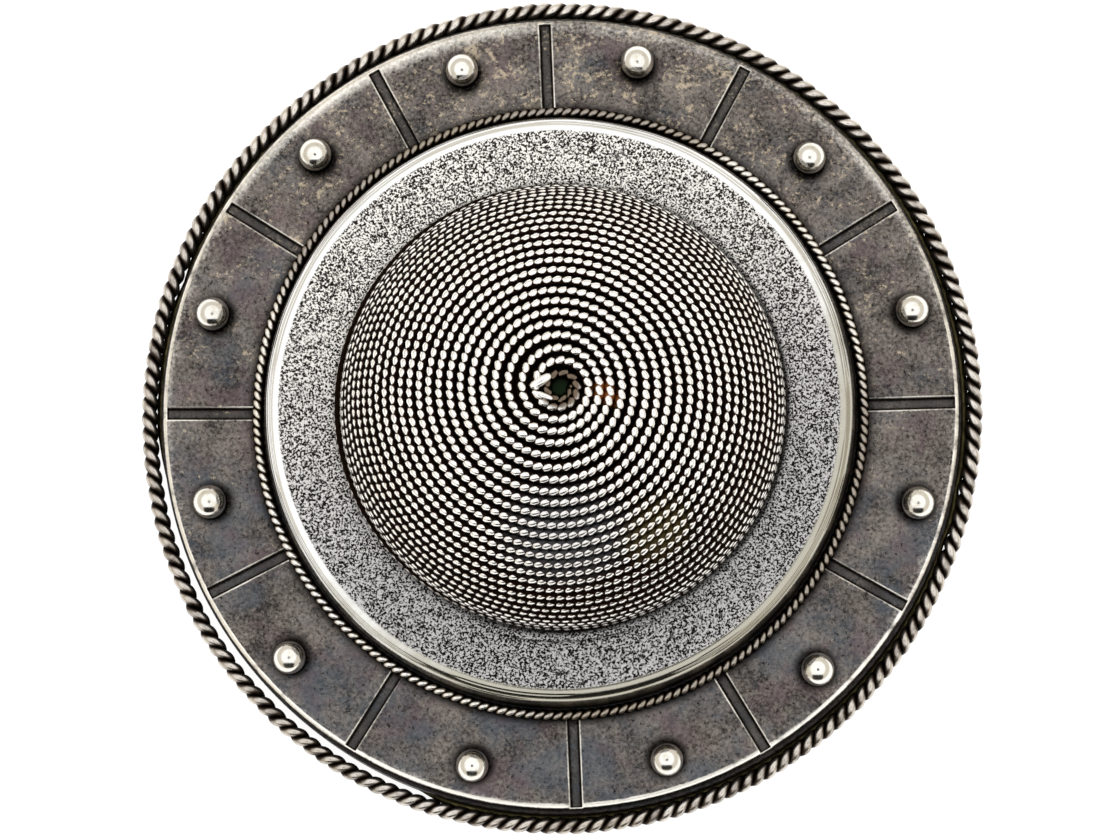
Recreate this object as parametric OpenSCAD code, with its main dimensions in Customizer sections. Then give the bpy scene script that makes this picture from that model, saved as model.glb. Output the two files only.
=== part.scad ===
// Round silver target brooch, lying on its back with its face up.
// Millimetres. The origin is on the surface it rests on, under the middle of the rope round its rim.
// +Z points out of the face and +Y to the top of the brooch as it is worn.

/* [Slotted ring] */
// Outer radius of the turned-down rim
rim_r = 23.85; // [23.4:0.05:23.9]
// Thickness of the rim's wall
rim_wall = 0.8; // [0.6:0.05:1.2]
// Height of the ring's flat face above the rest plane
face_z = 3.35; // [3.2:0.05:4.5]
// Thickness of the face sheet
face_sheet = 0.8; // [0.6:0.05:1]
// Rounding of the rim's upper edge
rim_round = 0.55; // [0.3:0.05:0.7]
// Inner radius of the face, hidden under the drum
face_inner_r = 16.4; // [15.5:0.1:16.6]
// Width of a radial slot
slot_w = 0.65; // [0.4:0.05:0.9]
// Depth of a radial slot
slot_depth = 0.4; // [0.2:0.05:0.5]
// Radius where a slot starts, under the fine rope
slot_start_r = 17.9; // [17.6:0.05:18.2]
// Radius where a slot stops, just short of the rim
slot_end_r = 23.45; // [22.8:0.05:23.5]

/* [Drum] */
// Outer radius at the foot of the drum
drum_foot_r = 17.6; // [17.2:0.05:17.6]
// Outer radius of the wall where its rounded edge starts
drum_wall_r = 17.5; // [17.3:0.05:17.55]
// Height of the seat under the dome above the ring's face
drum_h = 2.85; // [2.4:0.05:3.8]
// Rounding of the drum's upper edge
drum_round = 0.9; // [0.6:0.05:1.2]
// Outer radius of the level seat under the dome
seat_r = 13.6; // [13.5:0.05:14]
// Inner radius of the level seat
seat_inner_r = 11.9; // [11:0.1:12]
// Rise of the grained shoulder from the rounded edge to the seat
shoulder_rise = 0.05; // [0:0.01:0.3]
// Thickness of the drum's sheet
drum_sheet = 0.5; // [0.4:0.05:0.8]

/* [Dome] */
// Radius of the sphere that the dome's ridges touch
dome_r = 13.56; // [13.5:0.02:13.6]
// Height of the dome above its seat
dome_h = 12.18; // [12:0.02:12.3]
// Sideways offset of the hand-set dome
dome_shift = 0.25; // [0:0.05:0.3]
// Number of turns of wire on the sphere
coil_turns = 24; // [23:1:24]
// Number of turns below them, which stand nearly upright
skirt_turns = 3; // [2:1:3]
// Diameter of the twisted wire that is wound into the dome
coil_wire_d = 0.72; // [0.71:0.01:0.76]
// Distance along the dome from its top to the first turn
coil_start = 0.82; // [0.8:0.02:0.9]
// Distance along the dome from one turn to the next
coil_pitch = 0.71; // [0.7:0.002:0.712]
// Radius of the lowest turn's centre line
foot_turn_r = 12.87; // [12.8:0.01:12.95]
// Thickness of the shell below the middle of the wire
dome_shell = 0.3; // [0.25:0.05:0.5]

/* [Ropes] */
// Diameter of the heavy rope round the rim
outer_rope_d = 1; // [0.9:0.05:1.1]
// Radius of the heavy rope's centre line
outer_rope_r = 24.48; // [24.4:0.02:24.8]
// Height of the heavy rope's centre line above the rest plane
outer_rope_z = 2; // [1:0.1:2.4]
// Twists in the heavy rope, all the way round
outer_rope_twists = 88; // [60:1:110]
// Diameter of one strand of the heavy rope
strand_d = 0.46; // [0.4:0.01:0.48]
// Diameter of the fine rope at the foot of the drum
inner_rope_d = 0.7; // [0.6:0.02:0.72]
// Radius of the fine rope's centre line
inner_rope_r = 18.04; // [18.02:0.02:18.2]

/* [Studs] */
// Radius of a ball stud
stud_r = 1; // [0.8:0.01:1.1]
// Height of a ball's centre above the ring's face
stud_lift = 0.74; // [0.5:0.02:0.9]
// Radius of the solder foot under a ball
stud_foot_r = 0.78; // [0.7:0.02:0.9]

/* [Back and pin] */
// Thickness of the back plate
back_sheet = 0.4; // [0.4:0.05:0.6]
// Distance of the pin above the middle of the brooch
pin_y = 6; // [0:0.5:10]
// Diameter of the pin's stem
pin_d = 0.9; // [0.8:0.05:1]
// Height of the pin's axis above the rest plane
pin_z = 0.95; // [0.9:0.05:1]
// Distance from the middle to the hinge, and to the catch
pin_reach = 16.5; // [12:0.5:17]

/* [Hidden] */
// Solder seam left open between neighbouring pieces
seam = 0.03;
oxidised_silver = "#6b6662";
grained_silver = "#b9b6b2";
twisted_silver = "#cfcbc6";
polished_silver = "#e6e4e1";

rim_inner_r = rim_r - rim_wall;
face_under_z = face_z - face_sheet;
seat_z = face_z + drum_h;
shoulder_z = seat_z - shoulder_rise;

// Wire centres lie on this sphere, whose own centre is below the seat, and then on a skirt
coil_r = dome_r - coil_wire_d / 2;
dome_centre_z = seat_z + dome_h - dome_r;
dome_foot_z = seat_z + seam;
foot_turn_z = dome_foot_z + coil_wire_d / 2;
skirt_tilt = (coil_start + (coil_turns - 1) * coil_pitch) / coil_r * 180 / PI;
skirt_top = coil_r * [sin(skirt_tilt), cos(skirt_tilt)];
skirt_foot = [foot_turn_r, foot_turn_z - dome_centre_z];

// Clockwise bearings of the slots from the top, in degrees
slot_bearings = [28.1, 58.1, 88.6, 119.5, 148.8, 177.7, 212.1, 242.9, 270.2, 302.2, 331.5, 357.7];

// Clockwise bearing and radius of each ball stud, which sit a little unevenly
STUD_BEARING = 0;
STUD_RADIUS = 1;
studs = [
    [12.4, 21.52],
    [44.4, 21.27],
    [74, 21.8],
    [104.5, 21.94],
    [135.2, 21.66],
    [163, 21.64],
    [193.9, 21.65],
    [227.8, 21.7],
    [255.8, 21.52],
    [286.1, 21.58],
    [316.7, 21.35],
    [344.1, 21.41]
];

// Stretches where the heavy rope stands off the rim
BULGE_BEARING = 0;
BULGE_HALF_WIDTH = 1;
BULGE_RISE = 2;
rope_bulges = [
    [78, 50, 0.19],
    [232, 60, 0.24],
    [290, 40, 0.15]
];

strand_rings_per_twist = 6;
strand_sides = 5;
strand_rings = outer_rope_twists * strand_rings_per_twist;
// Distance of a strand's own centre line from the rope's
strand_offset = (outer_rope_d - strand_d) / 2;

back_top_z = face_under_z - seam;
back_under_z = back_top_z - back_sheet;
stud_foot_h = 0.15;
hinge_r = 0.8;
hinge_gap = 1;
ear_t = 0.7;
eye_d = 1.25;
catch_wall = 0.4;
catch_len = 2.2;
// Height of the catch's open mouth, and of its middle below the pin's axis
catch_mouth = 0.5;
catch_mouth_drop = 0.15;
// How far the stem's point reaches past the catch, and how wide it ends
pin_tip = 1.6;
pin_tip_d = 0.2;
pad_t = 0.3;
// Overlap that fuses parts into one solid
bite = 0.05;

// Points on a quarter circle that stands level at 90 degrees of tilt and points up at 0
function quarter(centre, radius, from, to, steps) =
    [for (i = [0:steps]) let (tilt = from + (to - from) * i / steps) centre + radius * [sin(tilt), cos(tilt)]];

// Rise of one smooth bulge at an angular distance from its middle
function bulge(distance, half_width, rise) =
    abs(distance) < half_width ? rise * pow(cos(90 * distance / half_width), 2) : 0;

function angle_between(a, b) = (a - b + 540) % 360 - 180;

function rope_radius(a) =
    let (
        bearing = 90 - a + 360,
        rises = [for (b = rope_bulges)
            bulge(angle_between(bearing, b[BULGE_BEARING]), b[BULGE_HALF_WIDTH], b[BULGE_RISE])],
        ones = [for (b = rope_bulges) 1]
    )
    outer_rope_r + rises * ones;

// One ring of points round a strand, where the rope has turned by a and the twist by p
function strand_ring(a, p) =
    let (
        out = [cos(a), sin(a), 0],
        along = [-sin(a), cos(a), 0],
        up = [0, 0, 1],
        away = cos(p) * out + sin(p) * up,
        turn = -sin(p) * out + cos(p) * up,
        radius = rope_radius(a),
        centre = radius * out + outer_rope_z * up + strand_offset * away,
        way = strand_offset * outer_rope_twists * turn + (radius + strand_offset * cos(p)) * along,
        side = cross(way / norm(way), away)
    )
    [for (k = [0:strand_sides - 1]) let (q = 360 * k / strand_sides)
        centre + strand_d / 2 * (cos(q) * away + sin(q) * side)];

module rope_strand(phase) {
    points = [for (i = [0:strand_rings - 1])
        let (a = 360 * i / strand_rings)
        each strand_ring(a, outer_rope_twists * a + phase)];
    faces = [for (i = [0:strand_rings - 1], k = [0:strand_sides - 1])
        let (
            i_next = (i + 1) % strand_rings,
            k_next = (k + 1) % strand_sides,
            here = i * strand_sides + k,
            beside = i * strand_sides + k_next,
            ahead = i_next * strand_sides + k,
            across = i_next * strand_sides + k_next
        )
        each [[here, across, beside], [here, ahead, across]]];
    polyhedron(points, faces);
}

module rim_section() {
    translate([rim_inner_r, 0])
        square([rim_wall, face_z - rim_round]);
    translate([face_inner_r, face_under_z])
        square([rim_r - rim_round - face_inner_r, face_sheet]);
    intersection() {
        translate([rim_r - rim_round, face_z - rim_round])
            circle(r = rim_round, $fn = 48);
        translate([rim_inner_r, 0])
            square([rim_wall, face_z]);
    }
}

module slotted_ring() {
    color(oxidised_silver)
        difference() {
            rotate_extrude($fn = 180) rim_section();
            for (bearing = slot_bearings)
                rotate([0, 0, 90 - bearing])
                    translate([slot_start_r, -slot_w / 2, face_z - slot_depth])
                        cube([slot_end_r - slot_start_r, slot_w, slot_depth * 2]);
        }
}

module boss_drum() {
    foot_z = face_z + seam;
    centre = [drum_wall_r - drum_round, shoulder_z - drum_round];
    color(grained_silver)
        rotate_extrude($fn = 180)
            polygon(concat(
                [[drum_foot_r, foot_z]],
                quarter(centre, drum_round, 90, 0, 9),
                [[seat_r, seat_z], [seat_inner_r, seat_z]],
                [[seat_inner_r, seat_z - drum_sheet], [seat_r, seat_z - drum_sheet]],
                quarter(centre, drum_round - drum_sheet, 0, 90, 4),
                [[drum_foot_r - drum_sheet, foot_z]]));
}

// Turns on the sphere and the shell that they are fused to
module dome_cap() {
    intersection() {
        difference() {
            union() {
                circle(r = coil_r, $fn = 180);
                for (turn = [0:coil_turns - 1]) {
                    tilt = (coil_start + turn * coil_pitch) / coil_r * 180 / PI;
                    translate([coil_r * sin(tilt), coil_r * cos(tilt)])
                        circle(d = coil_wire_d, $fn = 24);
                }
            }
            circle(r = coil_r - dome_shell, $fn = 180);
        }
        translate([0, skirt_top[1] - bite])
            square([2 * dome_r, 2 * dome_r]);
    }
}

// Turns below the sphere, down to the one that stands on the drum
module dome_skirt() {
    inward = [-dome_shell, 0];
    polygon([skirt_top, skirt_top + inward, skirt_foot + inward, skirt_foot]);
    for (step = [0:skirt_turns])
        translate(skirt_top + step / skirt_turns * (skirt_foot - skirt_top))
            circle(d = coil_wire_d, $fn = 24);
}

module coiled_dome() {
    color(twisted_silver)
        translate([dome_shift, 0, dome_centre_z])
            rotate_extrude($fn = 180)
                union() {
                    dome_cap();
                    dome_skirt();
                }
}

module inner_rope() {
    color(twisted_silver)
        translate([0, 0, face_z + seam + inner_rope_d / 2])
            rotate_extrude($fn = 180)
                translate([inner_rope_r, 0])
                    circle(d = inner_rope_d, $fn = 24);
}

module outer_rope_strand_a() {
    color(twisted_silver) rope_strand(0);
}

module outer_rope_strand_b() {
    color(twisted_silver) rope_strand(180);
}

module stud(index) {
    place = studs[index];
    color(polished_silver)
        rotate([0, 0, 90 - place[STUD_BEARING]])
            translate([place[STUD_RADIUS], 0, face_z + seam])
                union() {
                    intersection() {
                        translate([0, 0, stud_lift]) sphere(r = stud_r, $fn = 64);
                        cylinder(r = 2 * stud_r, h = 4 * stud_r, $fn = 64);
                    }
                    cylinder(r = stud_foot_r, h = stud_foot_h, $fn = 64);
                }
}

module back_plate() {
    color(polished_silver)
        translate([0, 0, back_under_z])
            cylinder(r = rim_inner_r - seam, h = back_sheet, $fn = 180);
}

// Two ears and the pin's eye between them, closed up as one block on its pad
module pin_hinge() {
    depth = hinge_gap + 2 * ear_t;
    translate([-hinge_r, -depth / 2, back_under_z - seam - pad_t])
        cube([2 * hinge_r, depth, pad_t]);
    for (side = [-1, 1])
        translate([0, side * (hinge_gap + ear_t) / 2, 0]) {
            translate([0, ear_t / 2, pin_z]) rotate([90, 0, 0])
                cylinder(r = hinge_r, h = ear_t, $fn = 48);
            translate([-hinge_r, -ear_t / 2, pin_z])
                cube([2 * hinge_r, ear_t, back_under_z - seam - pin_z]);
        }
    translate([0, hinge_gap / 2 + bite, pin_z]) rotate([90, 0, 0])
        cylinder(d = eye_d, h = hinge_gap + 2 * bite, $fn = 48);
}

// Hook closed over the stem, open to the top of the brooch
module pin_catch() {
    hook_r = pin_d / 2 + catch_wall;
    difference() {
        union() {
            rotate([0, 90, 0]) cylinder(r = hook_r, h = catch_len, center = true, $fn = 48);
            translate([-catch_len / 2, -hook_r, 0])
                cube([catch_len, catch_wall + bite, back_under_z - seam - pin_z]);
        }
        translate([-catch_len, 0, -catch_mouth / 2 - catch_mouth_drop])
            cube([2 * catch_len, 2 * hook_r, catch_mouth]);
    }
    translate([-catch_len / 2, -hook_r, back_under_z - seam - pad_t - pin_z])
        cube([catch_len, 2 * hook_r, pad_t]);
}

module pin_fitting() {
    color(polished_silver)
        translate([0, pin_y, 0])
            union() {
                translate([-pin_reach, 0, 0]) pin_hinge();
                translate([pin_reach, 0, pin_z]) pin_catch();
                translate([-pin_reach, 0, pin_z]) rotate([0, 90, 0])
                    cylinder(d = pin_d, h = 2 * pin_reach, $fn = 48);
                translate([pin_reach, 0, pin_z]) rotate([0, 90, 0])
                    cylinder(d1 = pin_d, d2 = pin_tip_d, h = catch_len / 2 + pin_tip, $fn = 48);
            }
}

slotted_ring();
boss_drum();
coiled_dome();
inner_rope();
outer_rope_strand_a();
outer_rope_strand_b();
stud(0);  // stud_01
stud(1);  // stud_02
stud(2);  // stud_03
stud(3);  // stud_04
stud(4);  // stud_05
stud(5);  // stud_06
stud(6);  // stud_07
stud(7);  // stud_08
stud(8);  // stud_09
stud(9);  // stud_10
stud(10);  // stud_11
stud(11);  // stud_12
back_plate();
pin_fitting();
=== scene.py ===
"""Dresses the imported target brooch: twisted silver wire, oxidised and grained sheet, polished balls and a pin.

Sizes are in metres in the part's own frame, +Z out of the face and +Y towards the top as worn, and most are
written as millimetres times MM. Bearings are in degrees, clockwise from the top.
"""

import logging
import math
from dataclasses import dataclass
from enum import Enum
from functools import partial
from typing import Any, Callable, Mapping, Sequence

import bmesh
import bpy
import numpy as np
from mathutils import Matrix, Vector, noise

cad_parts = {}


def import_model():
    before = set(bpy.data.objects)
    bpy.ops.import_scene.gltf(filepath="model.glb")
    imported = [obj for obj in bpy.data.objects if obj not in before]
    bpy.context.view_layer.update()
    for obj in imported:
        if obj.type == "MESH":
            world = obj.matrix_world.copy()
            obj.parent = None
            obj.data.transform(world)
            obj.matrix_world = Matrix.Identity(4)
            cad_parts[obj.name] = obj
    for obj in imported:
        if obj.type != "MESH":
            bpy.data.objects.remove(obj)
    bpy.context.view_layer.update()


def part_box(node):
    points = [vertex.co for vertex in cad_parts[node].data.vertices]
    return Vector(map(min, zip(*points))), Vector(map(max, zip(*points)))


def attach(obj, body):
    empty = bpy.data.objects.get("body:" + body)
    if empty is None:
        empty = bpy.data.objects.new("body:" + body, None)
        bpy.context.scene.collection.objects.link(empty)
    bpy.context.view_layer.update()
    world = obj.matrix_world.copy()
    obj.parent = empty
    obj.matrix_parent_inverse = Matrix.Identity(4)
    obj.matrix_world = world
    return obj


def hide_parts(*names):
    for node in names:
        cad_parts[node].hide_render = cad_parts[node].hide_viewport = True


MM = 0.001
TAU = 2 * math.pi
ROOT = "root"
EASED = "SMOOTHSTEP"

LOG = logging.getLogger("brooch")

Point = tuple[float, float]
Triple = tuple[float, float, float]
Table = Sequence[Point]
Socket = bpy.types.NodeSocket
Material = bpy.types.Material
Mesh = bpy.types.Mesh
# A function that adds a node to one tree and returns its output
Adder = Callable[..., Socket]


class Slot(Enum):
    """Material slots that the record names."""

    OXIDISED = "oxidised_silver"
    GRAINED = "grained_silver"
    TWISTED = "twisted_silver"
    POLISHED = "polished_silver"


class Ply(Enum):
    """The two strands of a twisted wire, by the angle at which each starts, in degrees."""

    A = 0.0
    B = 180.0


class Mark(Enum):
    """Vertex attributes that carry wear, dirt, and painted light and shade from the shapes to the finishes."""

    CREST = "crest"
    FACING = "facing"
    LENS = "lens"
    WEAR = "wear"
    GRIME = "grime"
    FLOOR = "floor"
    POLISH = "polish"
    WALL = "wall"
    DULL = "dull"


def smooth_step(value: Any, low: float, high: float) -> Any:
    """Eases one number, or an array of them, from 0 at low to 1 at high."""
    share = np.clip((np.asarray(value, float) - low) / (high - low), 0, 1)
    return share * share * (3 - 2 * share)


def linear(colour: str) -> tuple[float, ...]:
    """Turns an sRGB hex colour into the linear colour that shader sockets take."""
    parts = [int(colour[i : i + 2], 16) / 255 for i in (1, 3, 5)]
    return (*(p / 12.92 if p <= 0.04045 else ((p + 0.055) / 1.055) ** 2.4 for p in parts), 1.0)


def bearing_of(x: Any, y: Any) -> Any:
    """Returns the clockwise bearing of a place from the top of the brooch, in degrees."""
    return np.degrees(np.arctan2(x, y)) % 360


def by_bearing(bearing: Any, table: Table) -> Any:
    """Reads a value off a table of bearings and values, which runs on from its last entry to its first."""
    return np.interp(bearing, *zip(*table), period=360)


def ripple(x: float, y: float, z: float) -> float:
    """Returns a smooth random value, about -1 to 1, that changes over a distance of 1."""
    return noise.noise(Vector((x, y, z)))


def add_node(
    tree: bpy.types.NodeTree,
    kind: str,
    inputs: Mapping[str, Any] | Sequence[Any] = (),
    out: str | None = None,
    **settings: Any,
) -> Socket | None:
    """Adds one node with its settings, and sets or links its inputs.

    Args:
        tree: The shader or geometry tree that gets the node.
        kind: The node's type, which begins with ShaderNode unless another family is named.
        inputs: A plain value, or the socket that feeds it, by the input's name or in order of those in use.
        out: The name of the output that is wanted, if it isn't the first in use.
        **settings: Properties of the node, set first, because they change which sockets are in use.

    Returns:
        The output.
    """
    node = tree.nodes.new(kind if "Node" in kind else f"ShaderNode{kind}")
    for name, value in settings.items():
        setattr(node, name, value)
    in_use = [s for s in node.inputs if s.enabled]
    pairs = inputs.items() if isinstance(inputs, Mapping) else enumerate(inputs)
    for key, value in pairs:
        socket = in_use[key] if isinstance(key, int) else node.inputs[key]
        if isinstance(value, Socket):
            tree.links.new(value, socket)
        else:
            socket.default_value = value
    return node.outputs[out] if out else next((s for s in node.outputs if s.enabled), None)


def new_material(name: str, look: Callable[[Adder], Mapping[str, Any]]) -> Material:
    """Makes a material with one shader.

    Args:
        name: The material's name.
        look: Adds the nodes it needs, and returns what each of the shader's sockets gets.

    Returns:
        The material.
    """
    material = bpy.data.materials.new(name)
    material.use_nodes = True
    material.node_tree.nodes.clear()
    add = partial(add_node, material.node_tree)
    add("OutputMaterial", (add("BsdfPrincipled", look(add)),))
    return material


def object_from(name: str, mesh: Mesh, finish: Material | None = None) -> bpy.types.Object:
    """Puts a mesh into the scene as an object at the origin.

    Args:
        name: The object's name.
        mesh: Its mesh, already in place.
        finish: Its material, if the mesh has none yet.

    Returns:
        The new object.
    """
    if finish is not None:
        mesh.materials.append(finish)
    piece = bpy.data.objects.new(name, mesh)
    bpy.context.scene.collection.objects.link(piece)
    return piece


def set_marks(mesh: Mesh, marks: Mapping[Mark, Any]) -> None:
    """Stores marks on a mesh.

    Args:
        mesh: The mesh to write to.
        marks: For each mark one number for all the vertices, or one for every vertex.
    """
    for mark, values in marks.items():
        layer = mesh.attributes.new(mark.value, "FLOAT", "POINT")
        layer.data.foreach_set("value", np.broadcast_to(np.ravel(values), len(mesh.vertices)).astype(np.float32))


def adopt(
    name: str,
    mesh: Mesh,
    slot: Slot,
    names: Sequence[str] = (),
    finish: Material | None = None,
    marks: Mapping[Mark, Any] | None = None,
) -> None:
    """Makes a mesh a piece that rides with the brooch, in place of the nodes that it stands for.

    Args:
        name: The piece's name.
        mesh: Its mesh, already in place.
        slot: The record's slot for its finish; not used.
        names: CAD nodes that it replaces.
        finish: Its material, if the mesh has none yet.
        marks: The marks that its material reads.
    """
    mesh.name = name
    set_marks(mesh, marks or {})
    piece = object_from(name, mesh, finish)
    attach(piece, ROOT)
    if names:
        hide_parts(*names)
    mesh.calc_loop_triangles()
    LOG.info("%s: %d triangles, in place of %s", name, len(mesh.loop_triangles), names or "nothing")


def joined(parts: Sequence[Mesh], merge: bool = False) -> Mesh:
    """Joins meshes into one that is shaded smoothly and faces outwards.

    Args:
        parts: The meshes, which are used up.
        merge: Whether vertices that lie on one another become one.

    Returns:
        The joined mesh.
    """
    work = bmesh.new()
    for part in parts:
        work.from_mesh(part)
        bpy.data.meshes.remove(part)
    if merge:
        bmesh.ops.remove_doubles(work, verts=work.verts, dist=0.001 * MM)
    bmesh.ops.recalc_face_normals(work, faces=work.faces)
    mesh = bpy.data.meshes.new("joined")
    work.to_mesh(mesh)
    work.free()
    mesh.polygons.foreach_set("use_smooth", [True] * len(mesh.polygons))
    mesh.update()
    return mesh


def grid_mesh(points: np.ndarray, wrap_rows: bool = False, merge: bool = False) -> Mesh:
    """Joins a grid of points with quads; its last column joins its first.

    Args:
        points: Array of rows by columns by 3.
        wrap_rows: Whether the last row joins the first.
        merge: Whether points that lie on one another become one.

    Returns:
        The mesh, with vertices in row order.
    """
    rows, columns = points.shape[:2]
    row = np.arange(rows if wrap_rows else rows - 1)
    i, j = (a.ravel() for a in np.meshgrid(row, np.arange(columns), indexing="ij"))
    i_next, j_next = (i + 1) % rows, (j + 1) % columns
    corners = [(i, j), (i, j_next), (i_next, j_next), (i_next, j)]
    mesh = bpy.data.meshes.new("grid")
    mesh.from_pydata(points.reshape(-1, 3).tolist(), [], np.stack([a * columns + b for a, b in corners], 1).tolist())
    return joined([mesh], merge)


def lathe(
    outline: Table,
    segments: int,
    uneven: Callable[[float, float, float], Vector] | None = None,
    centre_x: float = 0.0,
    poles: bool = True,
) -> Mesh:
    """Turns an outline about a vertical axis.

    Args:
        outline: Radius and height of each point.
        segments: Steps round the axis.
        uneven: Gives the hand-made offset of a point from its radius, angle and height.
        centre_x: Where the axis is.
        poles: Whether the outline starts and ends on the axis, where its points are merged, or closes on itself.

    Returns:
        The mesh, with one row of vertices for each point of an outline without poles.
    """
    angles = np.arange(segments) * TAU / segments
    points = np.zeros((len(outline), segments, 3))
    for i, (radius, height) in enumerate(outline):
        points[i] = np.stack([centre_x + radius * np.cos(angles), radius * np.sin(angles), 0 * angles + height], 1)
        if uneven is not None:
            points[i] += [uneven(radius, float(a), height) for a in angles]
    return grid_mesh(points, wrap_rows=not poles, merge=poles)


def vertex_array(mesh: Mesh) -> np.ndarray:
    """Returns the mesh's vertex places as an array of three columns."""
    places = np.zeros(len(mesh.vertices) * 3)
    mesh.vertices.foreach_get("co", places)
    return places.reshape(-1, 3)


def streaks(add: Adder, place: Socket, turn: float, scale: Triple, detail: float) -> Socket:
    """Adds noise drawn out by a scale in cycles per metre, once the place is turned by an angle in radians."""
    turned = add("Mapping", {"Vector": place, "Rotation": (0.0, 0.0, turn)})
    return add("TexNoise", (add("Mapping", {"Vector": turned, "Scale": scale}), 1.0, detail))


@dataclass(frozen=True)
class StainOrShade:
    """A soft-edged patch of another colour, a real stain or a painted shade: its middle, how far it reaches, and how
    strong it is there.
    """

    place: Triple
    reach: float
    colour: str
    strength: float
    in_grooves: bool = False

    def over(self, add: Adder, place: Socket, colour: Socket, bright: Socket) -> Socket:
        """Lays the patch over a colour.

        Args:
            add: Adds a node to the material.
            place: The point in the object's coordinates.
            colour: The colour without the patch.
            bright: How far the point is rubbed and painted bright, which keeps a patch in the grooves off the crests.

        Returns:
            The colour with the patch.
        """
        away = add("VectorMath", (place, self.place), operation="DISTANCE")
        limits = (self.reach, 0.3 * self.reach, 0.0, self.strength)
        near = add("MapRange", (away, *limits), interpolation_type=EASED)
        if self.in_grooves:
            near = add("Math", (near, add("MapRange", (bright, 0.75, 0.45))), operation="MULTIPLY")
        return add("Mix", (near, colour, linear(self.colour)), data_type="RGBA")


@dataclass(frozen=True)
class TwistedSilver:
    """Two drawn silver wires twisted together, blackened all over and rubbed bright where a cloth reaches, with painted
    highlights on the crests and painted shade on the flanks.
    """

    name: str
    silver: str = "#fffdf9"
    tarnish: str = "#d8c9a8"
    dull: str = "#6f6153"
    oxide: str = "#0b0806"
    edge: str = "#5d4a38"
    # Marks that say how far a point is rubbed and painted bright, each with its values for black and for bright
    limits: Sequence[tuple[Mark, float, float]] = ((Mark.LENS, 0.0, 0.3),)
    # How far rubbed and painted bright the metal has the edge's colour, and is white as a painted highlight
    edge_at: float = 0.45
    white_at: float = 0.9
    rub_and_light_per_mm: float = 0.0
    unevenness: float = 0.07
    tarnish_share: float = 0.2
    bright_roughness: float = 0.24
    oxide_roughness: float = 0.6
    stains_and_shades: Sequence[StainOrShade] = ()

    def rubbed_and_highlit(self, add: Adder, place: Socket) -> Socket:
        """Works out how far each point was rubbed bright, with its painted highlight and shade.

        Args:
            add: Adds a node to the material.
            place: The point in the object's coordinates.

        Returns:
            0 in the grooves to 1 on the crests.
        """
        # Cloth wear comes and goes over about 1 mm, and the bright share rises the higher a point is, which paints
        # shade low on the dome
        patches = add("TexNoise", (place, 900.0, 3.0, 0.6))
        uneven = add("MapRange", (patches, 0.3, 0.7, -self.unevenness, self.unevenness))
        height = add("SeparateXYZ", (place,), "Z")
        uneven = add("Math", (height, self.rub_and_light_per_mm / MM, uneven), operation="MULTIPLY_ADD")
        bright: Socket | float = 1.0
        for mark, low, high in self.limits:
            stands_out = add("Attribute", out="Fac", attribute_name=mark.value)
            reach = add("Math", (stands_out, uneven), operation="ADD")
            share = add("MapRange", (reach, low, high), interpolation_type=EASED)
            bright = add("Math", (bright, share), operation="MULTIPLY")
        return bright

    def look(self, add: Adder) -> Mapping[str, Any]:
        """Works out the finish from how far each point stands out of the wire and how dull it is.

        Args:
            add: Adds a node to the material.

        Returns:
            What each of the shader's sockets gets.
        """
        # Sterling silver wire, drawn, twisted and dipped in liver of sulphur, then rubbed. The eye gets white
        # lens-shaped painted highlights on the rubbed crests of the strands, brown flanks with painted shade, and black
        # grooves.
        place = add("TexCoord", out="Object")
        bright = self.rubbed_and_highlit(add, place)
        # Sulphide tints the silver yellow-brown in clouds a few millimetres wide
        clouds = add("TexNoise", (place, 160.0, 2.0))
        tint = add("MapRange", (clouds, 0.35, 0.75, 0.0, 2 * self.tarnish_share))
        metal = add("Mix", (tint, linear(self.silver), linear(self.tarnish)), data_type="RGBA")
        dulled = add("Attribute", out="Fac", attribute_name=Mark.DULL.value)
        metal = add("Mix", (dulled, metal, linear(self.dull)), data_type="RGBA")
        # The ramp runs from black oxide through brown flanks of painted shade to a white painted highlight
        rub_and_highlight = add("ValToRGB", (bright,))
        stops = ((0.0, linear(self.oxide)), (self.edge_at, linear(self.edge)), (self.white_at, (1.0, 1.0, 1.0, 1.0)))
        elements = rub_and_highlight.node.color_ramp.elements
        elements.new(1.0)
        for element, (position, shade) in zip(elements, stops):
            element.position, element.color = position, shade
        colour = add("Mix", (1.0, metal, rub_and_highlight), data_type="RGBA", blend_type="MULTIPLY")
        for tint_patch in self.stains_and_shades:
            colour = tint_patch.over(add, place, colour, bright)
        rough = add("MapRange", (bright, 0.0, 1.0, self.oxide_roughness, self.bright_roughness))
        return {"Base Color": colour, "Roughness": rough, "Metallic": 1.0}


@dataclass(frozen=True)
class Film:
    """A colour that lies over the sheet where noise is high."""

    colour: str
    # Scale in cycles per metre, detail and weight of each noise
    noises: Sequence[Triple]
    # Where the film begins, where it is full, and how strong it is there
    low: float
    high: float
    most: float
    # How much the noise is raised for each metre towards the top
    climb: float = 0.0


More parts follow.
